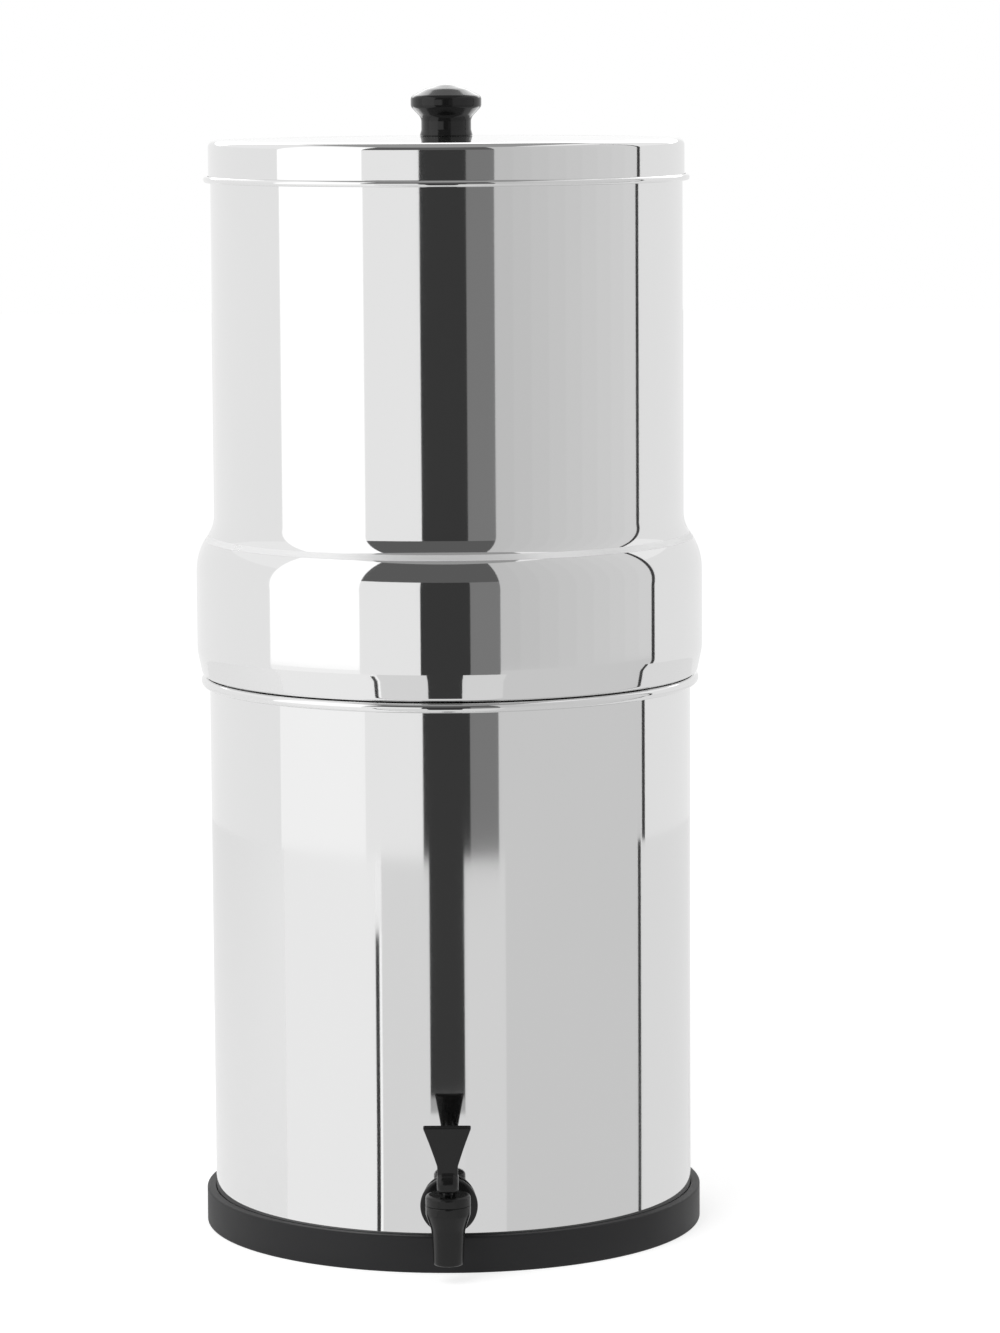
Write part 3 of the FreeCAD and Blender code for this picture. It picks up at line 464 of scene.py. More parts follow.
def closed(corners, arc_step, hold):
    """The same for a section that runs right round, from midway between its last and first corners."""
    start = (*((Vector(corners[0][:2]) + Vector(corners[-1][:2])) / 2), 0)
    return rounded([start, *corners, start], arc_step, hold)[:-1]


def solid(corners, arc_step=5.0, hold=HOLD):
    """The same for a solid, which starts and ends on the axis."""
    return rounded([(0, corners[0][1], 0), *corners, (0, corners[-1][1], 0)], arc_step, hold)


def drum(radius, low, high, edge, arc_step=5.0, hold=HOLD):
    """The outline of a cylinder with rounded edges."""
    return solid([(radius, low, edge), (radius, high, edge)], arc_step, hold)


def angles(start, stop, step, fewest=1):
    """Angles in radians from start to stop, which are in degrees, at most a step apart."""
    steps = max(fewest, math.ceil(abs(stop - start) / step))
    return [math.radians(start + (stop - start) * k / steps) for k in range(steps + 1)]


def curl(centre, radius, start, sweep):
    """Points of an arc given in degrees, from just past its start."""
    return [Vector((centre[0] + radius * math.cos(a), centre[1] + radius * math.sin(a)))
            for a in angles(start, start + sweep, 12)[1:]]


def beside(path, distance):
    """The path moved sideways to its left, mitred at its corners."""
    moved = []
    for i, point in enumerate(path):
        runs = []
        if i > 0:
            runs.append((point - path[i - 1]).normalized())
        if i < len(path) - 1:
            runs.append((path[i + 1] - point).normalized())
        along = sum(runs, Vector((0, 0))).normalized()
        left = Vector((-along.y, along.x))
        moved.append(point + left * distance / max(0.3, along.dot(runs[0])))
    return moved


def new_tree(name, **inputs):
    """A geometry node tree whose inputs have the given kinds, and the sockets of these inputs."""
    tree = bpy.data.node_groups.new(name, "GeometryNodeTree")
    for key, kind in inputs.items():
        tree.interface.new_socket(key.replace("_", " "), in_out="INPUT",
                                  socket_type=f"NodeSocket{kind}")
    tree.interface.new_socket("Form", in_out="OUTPUT", socket_type="NodeSocketGeometry")
    return tree, tree.nodes.new("NodeGroupInput").outputs


def coloured(tree, geometry, material):
    """Shades the geometry smooth, makes its copies real and gives it the finish."""
    smooth = add(tree, "GeometryNodeSetShadeSmooth", Geometry=geometry)
    real = add(tree, "GeometryNodeRealizeInstances", Geometry=smooth)
    return add(tree, "GeometryNodeSetMaterial", Geometry=real, Material=material)


def put_out(tree, geometry):
    tree.links.new(geometry, tree.nodes.new("NodeGroupOutput").inputs["Form"])
    return tree


def turned_tree():
    """Geometry nodes that turn an outline about the vertical axis into a shell."""
    tree, inputs = new_tree("Turned form", Outline="Geometry", Steps="Int", Core="Float",
                            Finish="Material", Inner_Finish="Material")
    line = add(tree, "GeometryNodeMeshToCurve", Mesh=inputs["Outline"])
    back = add(tree, "ShaderNodeMath", inputs["Core"], -1.0, operation="MULTIPLY")
    shift = add(tree, "ShaderNodeCombineXYZ", X=back)
    # The section's second axis points down along the swept circle, so it is turned over.
    section = add(tree, "GeometryNodeTransform", Geometry=line, Translation=shift,
                  Scale=(1, -1, 1))
    circle = add(tree, "GeometryNodeCurvePrimitiveCircle", Resolution=inputs["Steps"],
                 Radius=inputs["Core"])
    swept = add(tree, "GeometryNodeCurveToMesh", Curve=circle, Profile_Curve=section)
    closed = add(tree, "GeometryNodeMergeByDistance", Geometry=swept, Distance=TOUCHING)
    outside = coloured(tree, closed, inputs["Finish"])
    mark = add(tree, "GeometryNodeInputNamedAttribute", data_type="FLOAT", Name="inner")
    # The marks are 0 and 1, and a face between both has 0.5.
    is_inner = add(tree, "FunctionNodeCompare", data_type="FLOAT", A=mark, B=0.6)
    inside = add(tree, "GeometryNodeSetMaterial", Geometry=outside, Selection=is_inner,
                 Material=inputs["Inner Finish"])
    return put_out(tree, inside)


def around_tree():
    """Geometry nodes that repeat a piece round the vertical axis."""
    tree, inputs = new_tree("Round the axis", Piece="Geometry", Count="Int", Radius="Float",
                            First_Turn="Float", Finish="Material")
    index = add(tree, "GeometryNodeInputIndex")
    step = add(tree, "ShaderNodeMath", math.tau, inputs["Count"], operation="DIVIDE")
    angle = add(tree, "ShaderNodeMath", index, step, inputs["First Turn"],
                operation="MULTIPLY_ADD")
    turn = add(tree, "ShaderNodeCombineXYZ", Z=angle)
    out = add(tree, "ShaderNodeCombineXYZ", X=inputs["Radius"])
    place = add(tree, "ShaderNodeVectorRotate", rotation_type="Z_AXIS", Vector=out, Angle=angle)
    points = add(tree, "GeometryNodePoints", Count=inputs["Count"], Position=place)
    copies = add(tree, "GeometryNodeInstanceOnPoints", Points=points, Instance=inputs["Piece"],
                 Rotation=turn)
    return put_out(tree, coloured(tree, copies, inputs["Finish"]))


def coil_tree():
    """Geometry nodes that wind a round wire into a coil."""
    tree, inputs = new_tree("Wound coil", Start="Geometry", Wire="Float", Radius="Float",
                            Height="Float", Turns="Float", Finish="Material")
    spiral = add(tree, "GeometryNodeCurveSpiral", Resolution=40, Rotations=inputs["Turns"],
                 Start_Radius=inputs["Radius"], End_Radius=inputs["Radius"],
                 Height=inputs["Height"])
    section = add(tree, "GeometryNodeCurvePrimitiveCircle", Resolution=16,
                  Radius=inputs["Wire"])
    wire = add(tree, "GeometryNodeCurveToMesh", Curve=spiral, Profile_Curve=section,
               Fill_Caps=True)
    return put_out(tree, coloured(tree, wire, inputs["Finish"]))


def new_object(name, mesh):
    obj = bpy.data.objects.new(name, mesh)
    bpy.context.scene.collection.objects.link(obj)
    return obj


def made_plain(obj):
    """Replaces the object's mesh by what its modifiers make of it, and removes them."""
    obj.update_tag()
    graph = bpy.context.evaluated_depsgraph_get()
    mesh = bpy.data.meshes.new_from_object(obj.evaluated_get(graph))
    obj.modifiers.clear()
    old, obj.data = obj.data, mesh
    mesh.name = obj.name
    bpy.data.meshes.remove(old)
    return obj


TREE_MAKERS = {"Turned form": turned_tree, "Round the axis": around_tree,
               "Wound coil": coil_tree}


def through_nodes(obj, name, values):
    """Runs a mesh through one of the node trees, whose inputs are given by name."""
    tree = bpy.data.node_groups.get(name) or TREE_MAKERS[name]()
    modifier = obj.modifiers.new(name, "NODES")
    modifier.node_group = tree
    for item in tree.interface.items_tree:
        if item.in_out == "INPUT" and item.name in values:
            modifier[item.identifier] = values[item.name]
    return made_plain(obj)


def faced_outwards(obj):
    """Merges what coincides and points every face outwards."""
    shape = bmesh.new()
    shape.from_mesh(obj.data)
    bmesh.ops.remove_doubles(shape, verts=shape.verts, dist=TOUCHING)
    bmesh.ops.recalc_face_normals(shape, faces=shape.faces)
    shape.to_mesh(obj.data)
    shape.free()
    return obj


def turned(name, points, material, inner=None, inner_from=None, steps=96, place=Matrix()):
    """A piece turned from an outline. Its points from inner_from on get the inner finish."""
    on_axis = points[0].x < 1e-9 and points[-1].x < 1e-9
    edges = [(i, i + 1) for i in range(len(points) - 1)]
    if not on_axis:
        edges.append((len(points) - 1, 0))
    mesh = bpy.data.meshes.new(name)
    mesh.from_pydata([(p.x, p.y, 0) for p in points], edges, [])
    marks = mesh.attributes.new("inner", "FLOAT", "POINT")
    for i in range(len(points)):
        marks.data[i].value = float(inner_from is not None and i >= inner_from)
    obj = through_nodes(new_object(name, mesh), "Turned form", {
        "Steps": steps, "Core": MM, "Finish": material_of(material),
        "Inner Finish": material_of(inner or material)})
    faced_outwards(obj)
    obj.data.transform(place)
    return smooth_by_angle(obj)


def prism(name, points, half_width, material, place=Matrix(), bevel=0.0):
    """A flat shape in the XZ plane given a thickness along Y, with its edges rounded."""
    shape = bmesh.new()
    face = shape.faces.new([shape.verts.new((x, -half_width, z)) for x, z in points])
    far = bmesh.ops.extrude_face_region(shape, geom=[face])["geom"]
    bmesh.ops.translate(shape, vec=(0, 2 * half_width, 0),
                        verts=[g for g in far if isinstance(g, bmesh.types.BMVert)])
    if bevel:
        bmesh.ops.bevel(shape, geom=shape.edges[:], offset=bevel, segments=3, profile=0.5,
                        affect="EDGES", clamp_overlap=True)
    bmesh.ops.recalc_face_normals(shape, faces=shape.faces)
    mesh = bpy.data.meshes.new(name)
    shape.to_mesh(mesh)
    shape.free()
    mesh.materials.append(material_of(material))
    mesh.transform(place)
    return new_object(name, mesh)


def cut_away(obj, cutters):
    """Takes the cutters' solids out of the object, deletes them and shades what is left."""
    for cutter in cutters:
        modifier = obj.modifiers.new("cut", "BOOLEAN")
        modifier.operation = "DIFFERENCE"
        modifier.solver = "EXACT"
        modifier.object = cutter
    bpy.context.view_layer.update()
    made_plain(obj)
    for cutter in cutters:
        bpy.data.objects.remove(cutter)
    return smooth_by_angle(obj)


def moulded(name, solids, voxel, passes, material):
    """Blends overlapping solids into one moulding with soft inner corners."""
    shape = bmesh.new()
    for solid in solids:
        shape.from_mesh(solid.data)
        bpy.data.objects.remove(solid)
    mesh = bpy.data.meshes.new(name)
    shape.to_mesh(mesh)
    shape.free()
    obj = new_object(name, mesh)
    cells = obj.modifiers.new("cells", "REMESH")
    cells.mode = "VOXEL"
    cells.voxel_size = voxel
    cells.use_smooth_shade = True
    ease = obj.modifiers.new("ease", "SMOOTH")
    ease.iterations = passes
    ease.factor = 0.5
    made_plain(obj)
    obj.data.materials.clear()
    obj.data.materials.append(material_of(material))
    return obj


def smooth_by_angle(obj, degrees=32.0):
    """Shades the faces smooth, but for edges sharper than this."""
    mesh = obj.data
    mesh.polygons.foreach_set("use_smooth", [True] * len(mesh.polygons))
    mesh.set_sharp_from_angle(angle=math.radians(degrees))
    return obj


def settle(obj, body, slot, *nodes):
    """Says what the piece rides on and which nodes it stands for. Its slot, the finish it takes, is
    not used.
    """
    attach(obj, body)
    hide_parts(*nodes)
    return obj


def along_x(point=(0, 0, 0)):
    """Turns a piece made round the vertical axis to lie along X through a point."""
    return Matrix.Translation(point) @ Matrix.Rotation(math.pi / 2, 4, "Y")


def along_y(point=(0, 0, 0)):
    """The same along Y, with the piece's top towards the chamber."""
    return Matrix.Translation(point) @ Matrix.Rotation(-math.pi / 2, 4, "X")


def rod(name, radius, low, high, place=Matrix(), steps=64):
    """A plain cutter for a bore."""
    return turned(name, drum(radius, low, high, 0, hold=math.inf), "tap_gloss", steps=steps,
                  place=place)


class WATERFILTER_OT_base_ring(bpy.types.Operator):
    """Turn the rubber ring that the lower chamber stands in"""
    bl_idname = "water_filter.base_ring"
    bl_label = "Base Ring"

    def execute(self, context):
        s = context.scene.water_filter.ring
        outer, height = RING[1].x, RING[1].z
        inner = context.scene.water_filter.chambers.lower_radius - s.reach
        section = closed([
            (inner, 0, s.inner_edge), (outer, 0, s.edge), (outer, height, s.edge),
            (s.fit, height, s.inner_edge), (s.fit, s.lip, s.inner_edge),
            (inner, s.lip, s.inner_edge)], 12, 0.3 * MM)
        ring = turned("base_ring_rubber", section, "ring_rubber", steps=256)
        settle(ring, "lower", "rubber_black", "base_ring")
        return {"FINISHED"}


class WATERFILTER_OT_lower_chamber(bpy.types.Operator):
    """Turn the lower chamber with its outward rolled rim, and cut the tap's hole"""
    bl_idname = "water_filter.lower_chamber"
    bl_label = "Lower Chamber"

    def execute(self, context):
        s = context.scene.water_filter.chambers
        bore = s.lower_radius - s.gauge
        foot = LOWER[0].z + s.gauge
        bead_z = LOWER[1].z - s.rim_bead / 2
        hole_band = 1.4 * s.tap_hole
        inner = rounded([
            (0, foot, 0), (bore, foot, s.lower_corner - s.gauge),
            (bore, TAP_LINE - hole_band, 0), (bore, TAP_LINE + hole_band, 0),
            (bore, bead_z - HOLD, 0), (bore, bead_z, 0)])
        wall_points = len(inner)
        inner += curl((bore + s.rim_bead / 2, bead_z), s.rim_bead / 2, 180, -304)
        outline = beside(inner, -s.gauge) + inner[::-1]
        pot = turned("lower_chamber_shell", outline, "polished_steel", "satin_inside",
                     len(outline) - wall_points, steps=s.steps)
        cutter = rod("tap_hole_cutter", s.tap_hole, -MM * 20, MM * 20,
                     along_y((0, -s.lower_radius, TAP_LINE)))
        cut_away(pot, [cutter])
        settle(pot, "lower", "steel", "lower_chamber")
        return {"FINISHED"}


class WATERFILTER_OT_upper_chamber(bpy.types.Operator):
    """Turn the upper chamber with its nested foot, bulge and inward rolled rim"""
    bl_idname = "water_filter.upper_chamber"
    bl_label = "Upper Chamber"

    def execute(self, context):
        s = context.scene.water_filter.chambers
        floor, bulge = UPPER[0].z, UPPER[1].x
        shelf = floor + s.nest_depth
        low = shelf + s.bulge_rise
        high = low + s.shoulder_rise
        bead_z = UPPER[1].z - s.rim_bead / 2
        outer = rounded([
            (0, floor, 0), (s.nest_radius, floor, s.nest_corner),
            (s.nest_radius, shelf, s.throat_round), (s.shelf_radius, shelf, s.shelf_corner),
            (bulge, shelf + s.foot_rise, s.foot_round), (bulge, low, s.shoulder_low_round),
            (s.upper_radius, high, s.shoulder_high_round),
            (s.upper_radius, bead_z - HOLD, 0), (s.upper_radius, bead_z, 0)],
            2.5)
        wall_points = len(outer)
        outer += curl((s.upper_radius - s.rim_bead / 2, bead_z), s.rim_bead / 2, 0, 300)
        inner = beside(outer, s.gauge)[::-1]
        pot = turned("upper_chamber_shell", outer + inner, "polished_steel", "satin_inside",
                     2 * len(outer) - wall_points, steps=s.steps)
        cutters = []
        for quarter in range(4):
            place = Matrix.Rotation(quarter * math.pi / 2, 4, "Z")
            place @= Matrix.Translation((s.hole_circle, 0, floor))
            cutters.append(rod(f"floor_hole_{quarter}", s.hole_radius, -5 * MM, 5 * MM, place))
        cut_away(pot, cutters)
        settle(pot, "upper", "steel", "upper_chamber")
        return {"FINISHED"}


class WATERFILTER_OT_lid(bpy.types.Operator):
    """Turn the lid: a shallow cone with a skirt and a small rolled brim"""
    bl_idname = "water_filter.lid"
    bl_label = "Lid"

    def execute(self, context):
        s = context.scene.water_filter.lid
        foot = LID[0].z + s.bead / 2
        seat = LID[1].z - s.gauge
        top = seat - s.crown
        bore = s.radius - s.gauge
        under = rounded([
            (s.hole_radius, seat, 0), (s.seat_radius, seat, s.seat_round),
            (s.radius - 2 * s.corner, top, 6 * s.corner), (bore, top, s.corner - s.gauge),
            (bore, foot + HOLD, 0), (bore, foot, 0)], 3)
        wall_points = len(under)
        under += curl((bore + s.bead / 2, foot), s.bead / 2, 180, 292)
        outer = beside(under, s.gauge)
        lid = turned("lid_shell", outer + under[::-1], "polished_steel", "satin_inside",
                     2 * len(outer) - wall_points,
                     steps=context.scene.water_filter.chambers.steps)
        settle(lid, "lid", "steel", "lid")
        return {"FINISHED"}


class WATERFILTER_OT_lid_knob(bpy.types.Operator):
    """Turn the mushroom knob"""
    bl_idname = "water_filter.lid_knob"
    bl_label = "Lid Knob"

    def execute(self, context):
        s = context.scene.water_filter.knob
        z = KNOB[0].z
        waist_top = z + s.foot_rise + s.waist_rise
        head_low = waist_top + s.flare_rise
        head_high = head_low + s.band
        crown = head_high + s.crown_rise
        outline = [Vector((0, z + s.bore_depth)), Vector((s.bore, z + s.bore_depth))]
        outline += rounded([
            (s.bore, z, 0), (s.foot, z, s.foot_edge), (s.waist, z + s.foot_rise, s.foot_round),
            (s.waist, waist_top, s.waist_round), (s.head, head_low, s.head_round),
            (s.head, head_high, s.head_round), (s.crown, crown, s.crown_round),
            (0.3 * s.crown, KNOB[1].z, s.crown_round), (0, KNOB[1].z, 0)], hold=0.3 * MM)
        knob = turned("knob", outline, "knob_gloss", steps=128)
        settle(knob, "lid", "knob_plastic", "lid_knob")
        return {"FINISHED"}


class WATERFILTER_OT_tap_body(bpy.types.Operator):
    """Mould the spout, barrel, neck, flange and threaded shank as one piece"""
    bl_idname = "water_filter.tap_body"
    bl_label = "Tap Body"

    def execute(self, context):
        s = context.scene.water_filter.tap
        barrel_top = BONNET[0].z - VALVE.z
        collar_top = barrel_top + s.collar_rise
        shank_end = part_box("tap_body")[1].y - VALVE.y
        here = Matrix.Translation(VALVE)
        fine, hold = 6, 0.4 * MM
        past = 5 * MM
        valve = turned("valve", solid([
            (s.spout_tip, -s.spout_drop, s.spout_edge),
            (s.spout_root, -s.spout_root_drop, s.spout_root_round),
            (s.barrel_radius, s.barrel_low, s.barrel_round),
            (s.barrel_radius, barrel_top, 0.3 * MM), (s.collar_radius, barrel_top, 0),
            (s.collar_radius, collar_top, 0)], fine, hold), "tap_gloss", steps=128, place=here)
        flange_back = s.flange_out + s.flange_thickness
        arm = turned("arm", solid([
            (s.neck_radius, 0, 0), (s.neck_radius, s.flange_out, s.neck_round),
            (s.flange_radius, s.flange_out, s.flange_round),
            (s.flange_radius, flange_back, 0.4 * MM), (s.shank_core, flange_back, 0),
            (s.shank_core, shank_end, 0.6 * MM)], fine, hold),
            "tap_gloss", steps=128, place=along_y(VALVE))
        body = moulded("tap_body_moulding", [valve, arm], s.voxel, 3, "tap_gloss")
        waterway = rod("waterway", s.shank_bore, 0, shank_end + past, along_y(VALVE))
        cavity = turned("cavity", solid([
            (s.spout_bore, -s.spout_drop - past, 0), (s.spout_bore, -s.seat_drop, 0),
            (s.cavity_radius, -s.seat_drop, 0), (s.cavity_radius, collar_top + past, 0)],
            hold=math.inf), "tap_gloss", place=here)
        cut_away(body, [waterway, cavity])
        settle(body, "lower", "tap_plastic", "tap_body")
        return {"FINISHED"}


class WATERFILTER_OT_tap_bonnet(bpy.types.Operator):
    """Turn the cap over the valve barrel"""
    bl_idname = "water_filter.tap_bonnet"
    bl_label = "Tap Bonnet"

    def execute(self, context):
        s = context.scene.water_filter.tap
        low, high = BONNET[0].z, BONNET[1].z
        collar = s.collar_radius + s.collar_fit
        top = low + s.collar_rise
        inner_edge = 0.2 * MM
        section = closed([
            (collar, low, inner_edge), (s.barrel_radius, low, s.bonnet_foot),
            (s.barrel_radius, high, s.bonnet_round), (s.bonnet_hole, high, 2 * inner_edge),
            (s.bonnet_hole, top, inner_edge), (collar, top, inner_edge)], 9, 0.2 * MM)
        bonnet = turned("bonnet", section, "tap_gloss", steps=128,
                        place=Matrix.Translation((0, VALVE.y, 0)))
        settle(bonnet, "lower", "tap_plastic", "tap_bonnet")
        return {"FINISHED"}


class WATERFILTER_OT_tap_lever(bpy.types.Operator):
    """Mould the lever: a round hub with a slot for the stem, and a flared paddle"""
    bl_idname = "water_filter.tap_lever"
    bl_label = "Tap Lever"

    def execute(self, context):
        s = context.scene.water_filter.lever
        pin = middle(PIN)
        hub = pin + Vector((0, -s.hub_out, s.hub_up))
        half = s.hub_width / 2
        ball = turned("hub", drum(s.hub_radius, -half, half, s.hub_round, 10, 0.3 * MM),
                      "tap_gloss", place=along_x(hub))
        ears = turned("ears", drum(s.ear, -s.neck_half, s.neck_half, s.edge), "tap_gloss",
                      steps=48, place=along_x(pin))
        lean = Matrix.Translation(hub) @ Matrix.Rotation(s.lean, 4, "X")
        side = []
        rows = 10
        for k in range(rows + 1):
            t = k / rows
            width = s.neck_half + (s.paddle_half - s.neck_half) * t
            side.append((width - s.waist * math.sin(math.pi * t), s.neck + s.paddle * t))
        outline = [(s.neck_half, 0)] + side
        outline += [(-x, z) for x, z in reversed(outline)]
        paddle = prism("paddle", outline, s.thickness / 2, "tap_gloss", lean, s.edge)
        rib_top = s.neck + s.rib_reach * s.paddle
        back = s.hub_radius - MM
        rib = prism("rib", [(0, 0), (0, rib_top), (back, 0)], s.rib_half, "tap_gloss",
                    lean @ QUARTER, s.rib_edge)
        lever = moulded("tap_lever_moulding", [ball, ears, paddle, rib], s.voxel, 8, "tap_gloss")
        # The slot's lower front side leans back, so that the stem clears it when the lever tilts.
        travel = math.radians(joint("lever_tilt")["range_deg"][1])
        reach = 2.5 * s.hub_radius
        front = -(s.eye_room * math.cos(travel) + reach * math.sin(travel))
        slot = prism("slot", [
            (reach, s.eye_room), (-s.eye_room * (1 - math.sin(travel)) / math.cos(travel), s.eye_room),
            (front, s.eye_room * math.sin(travel) - reach * math.cos(travel)), (front, -reach),
            (reach, -reach)], s.slot_half, "tap_gloss",
            Matrix.Translation(pin) @ QUARTER)
        hole = rod("pin_hole", s.pin_hole, -2 * half, 2 * half, along_x(pin), 32)
        cut_away(lever, [slot, hole])
        settle(lever, "lever", "tap_plastic", "tap_lever")
        return {"FINISHED"}


class WATERFILTER_OT_tap_spring(bpy.types.Operator):
    """Wind the closing spring at one length, though the real one shortens as the stem lifts"""
    bl_idname = "water_filter.tap_spring"
    bl_label = "Tap Spring"

    def execute(self, context):
        s = context.scene.water_filter.tap
        low, high = SPRING
        wire = s.spring_wire / 2
        spring = new_object("closing_spring", bpy.data.meshes.new("closing_spring"))
        through_nodes(spring, "Wound coil", {
            "Wire": wire, "Radius": high.x - wire, "Height": high.z - low.z - 2 * wire,
            "Turns": s.spring_turns, "Finish": material_of("drawn_wire")})
        spring.data.transform(Matrix.Translation((0, VALVE.y, low.z + wire)))
        faced_outwards(spring)
        settle(spring, "lower", "spring_steel", "tap_spring")
        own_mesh(spring)
        return {"FINISHED"}


class WATERFILTER_OT_elements(bpy.types.Operator):
    """Turn the two carbon blocks and their caps"""
    bl_idname = "water_filter.elements"
    bl_label = "Filter Elements"

    def execute(self, context):
        s = context.scene.water_filter.inner
        for side in ("left", "right"):
            low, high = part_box(f"carbon_block_{side}")
            axis = Vector(((low.x + high.x) / 2, 0, 0))
            block = turned(f"carbon_{side}", drum(
                s.block_radius, low.z, high.z, s.block_edge, 15),
                "carbon_grain", place=Matrix.Translation(axis))
            settle(block, "upper", "carbon", f"carbon_block_{side}")
            low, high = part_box(f"element_cap_{side}")
            radius = (high.x - low.x) / 2
            cap = turned(f"cap_{side}", solid([
                (radius, low.z, 0.4 * MM), (radius, high.z, s.cap_edge),
                (s.dish_brim * radius, high.z, MM),
                (s.dish_floor * radius, high.z - s.cap_dish, MM)], 10, 0.3 * MM),
                "element_black", place=Matrix.Translation(axis))
            settle(cap, "upper", "element_plastic", f"element_cap_{side}")
        return {"FINISHED"}


class WATERFILTER_OT_floor_fittings(bpy.types.Operator):
    """Set the washers, wing nuts and blocking plugs round the upper chamber's floor"""
    bl_idname = "water_filter.floor_fittings"
    bl_label = "Floor Fittings"

    def execute(self, context):
        s = context.scene.water_filter.inner
        circle = context.scene.water_filter.chambers.hole_circle
        low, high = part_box("floor_washers")
        sides = ((s.stem_radius, low.z), (s.washer_radius, low.z), (s.washer_radius, high.z),
                 (s.stem_radius, high.z))
        section = closed([(*corner, s.washer_edge) for corner in sides], 15, 0.1 * MM)
        washer = turned("floor_washer_set", section, "washer_rubber", steps=48)
        self.repeat(washer, 4, circle, 0.0, "washer_rubber")
        settle(washer, "upper", "washer_rubber", "floor_washers")
        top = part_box("wing_nuts")[1].z
        nut = self.wing_nut(s, top)
        self.repeat(nut, 4, circle, 0.0, "nut_white")
        settle(nut, "upper", "nut_plastic", "wing_nuts")
        low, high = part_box("blocking_plugs")
        head = high.z - s.plug_height
        plug = turned("blocking_plug_set", solid([
            (s.stem_radius, low.z, 0.5 * MM), (s.stem_radius, head, 0),
            (s.plug_radius, head, 0.3 * MM), (s.plug_radius, high.z, s.plug_edge)],
            15, 0.2 * MM), "nut_white", steps=48)
        self.repeat(plug, 2, circle, math.pi / 2, "nut_white")
        settle(plug, "upper", "nut_plastic", "blocking_plugs")
        return {"FINISHED"}

    def repeat(self, piece, count, radius, first, material):
        through_nodes(piece, "Round the axis", {
            "Count": count, "Radius": radius, "First Turn": first,
            "Finish": material_of(material)})

    def wing_nut(self, s, top):
        hub = turned("nut_hub", solid([
            (s.nut_radius - MM, top - s.nut_height, 0.8 * MM), (s.nut_radius, top, 0.4 * MM)],
            12, 0.3 * MM), "nut_white", steps=64)
        inner, outer = 3 * MM, s.wing_half
        low = top - s.wing_height - 1.2 * MM
        wings = []
        for side in (1, -1):
            shape = [(side * inner, top - 2 * MM), (side * inner, top - s.nut_height + MM),
                     (side * 0.62 * outer, low), (side * 0.9 * outer, low),
                     (side * outer, low + 2 * MM), (side * outer, low + 6 * MM),
                     (side * 0.6 * outer, top - 1.5 * MM)]
            wings.append(prism("wing", shape, s.wing_thickness / 2, "nut_white",
                               QUARTER, 0.7 * MM))
        nut = moulded("wing_nut_set", [hub, *wings], 0.6 * MM, 2, "nut_white")
        return cut_away(nut, [rod("nut_bore", s.stem_radius, top - 20 * MM, top + 5 * MM)])


class WATERFILTER_OT_carried_over(bpy.types.Operator):
    """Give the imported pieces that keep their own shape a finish"""
    bl_idname = "water_filter.carried_over"
    bl_label = "Carried Over"

    def execute(self, context):
        finishes = {
            "tap_outer_washer": "washer_rubber", "tap_inner_washer": "washer_rubber",
            "tap_nut": "nut_white", "tap_stem": "stem_black", "tap_seal_cup": "seal_grey",
            "lever_pin": "drawn_wire", "element_base_left": "element_black",
            "element_base_right": "element_black", "lid_knob_screw": "drawn_wire",
            "lid_knob_washer": "drawn_wire",
        }
        for node, material in finishes.items():
            slots = frame["nodes"][node].material_slots
            if not slots:
                raise RuntimeError(f"{node} has no material slot")
            for item in slots:
                item.material = material_of(material)
        return {"FINISHED"}


def glow(name, strength):
    """A material that shines evenly."""
    material, tree = shader_tree(name)
    light = add(tree, "ShaderNodeEmission", Strength=strength)
    add(tree, "ShaderNodeOutputMaterial", Surface=light)
    return material


def only_reflected(obj):
    """Hides a stage object from all but reflections."""
    for ray in ("camera", "diffuse", "transmission", "volume_scatter", "shadow"):
        setattr(obj, f"visible_{ray}", False)
    return obj


def band(name, pairs, strength):
    """A shining strip through pairs of points, which only the steel shows."""
    mesh = bpy.data.meshes.new(name)
    mesh.from_pydata([point for pair in pairs for point in pair], [],
                     [(k, k + 2, k + 3, k + 1) for k in range(0, 2 * len(pairs) - 2, 2)])
    mesh.materials.append(glow(name, strength))
    return only_reflected(new_object(name, mesh))


def bearing(angle):
    """The level direction at an angle to the right of the tap."""
    return Vector((math.sin(angle), -math.cos(angle), 0))


def card(name, start, stop, low, high, strength):
    """An upright card curved round the filter, its ends in degrees to the tap's right."""
    distance = bpy.context.scene.water_filter.stage.card_distance
    feet = [distance * bearing(a) for a in angles(start, stop, 3, 2)]
    band(name, [(foot + low * UP, foot + high * UP) for foot in feet], strength)


def floor_mat(name, start, stop, near, far, strength):
    """A mat on the floor that the lower chamber mirrors between two angles on its wall."""
    settings = bpy.context.scene.water_filter
    cards = settings.stage.card_distance
    pairs = []
    for a in angles(start, stop, 2):
        foot = settings.chambers.lower_radius * bearing(a) + 0.5 * MM * UP
        direction = bearing(2 * a + math.atan2(foot.x, settings.stage.camera_distance + foot.y))
        along = foot.dot(direction)
        to_cards = math.sqrt(along ** 2 + cards ** 2 - foot.length_squared) - along
        pairs.append((foot + (far or to_cards) * direction, foot + near * direction))
    band(name, pairs, strength)


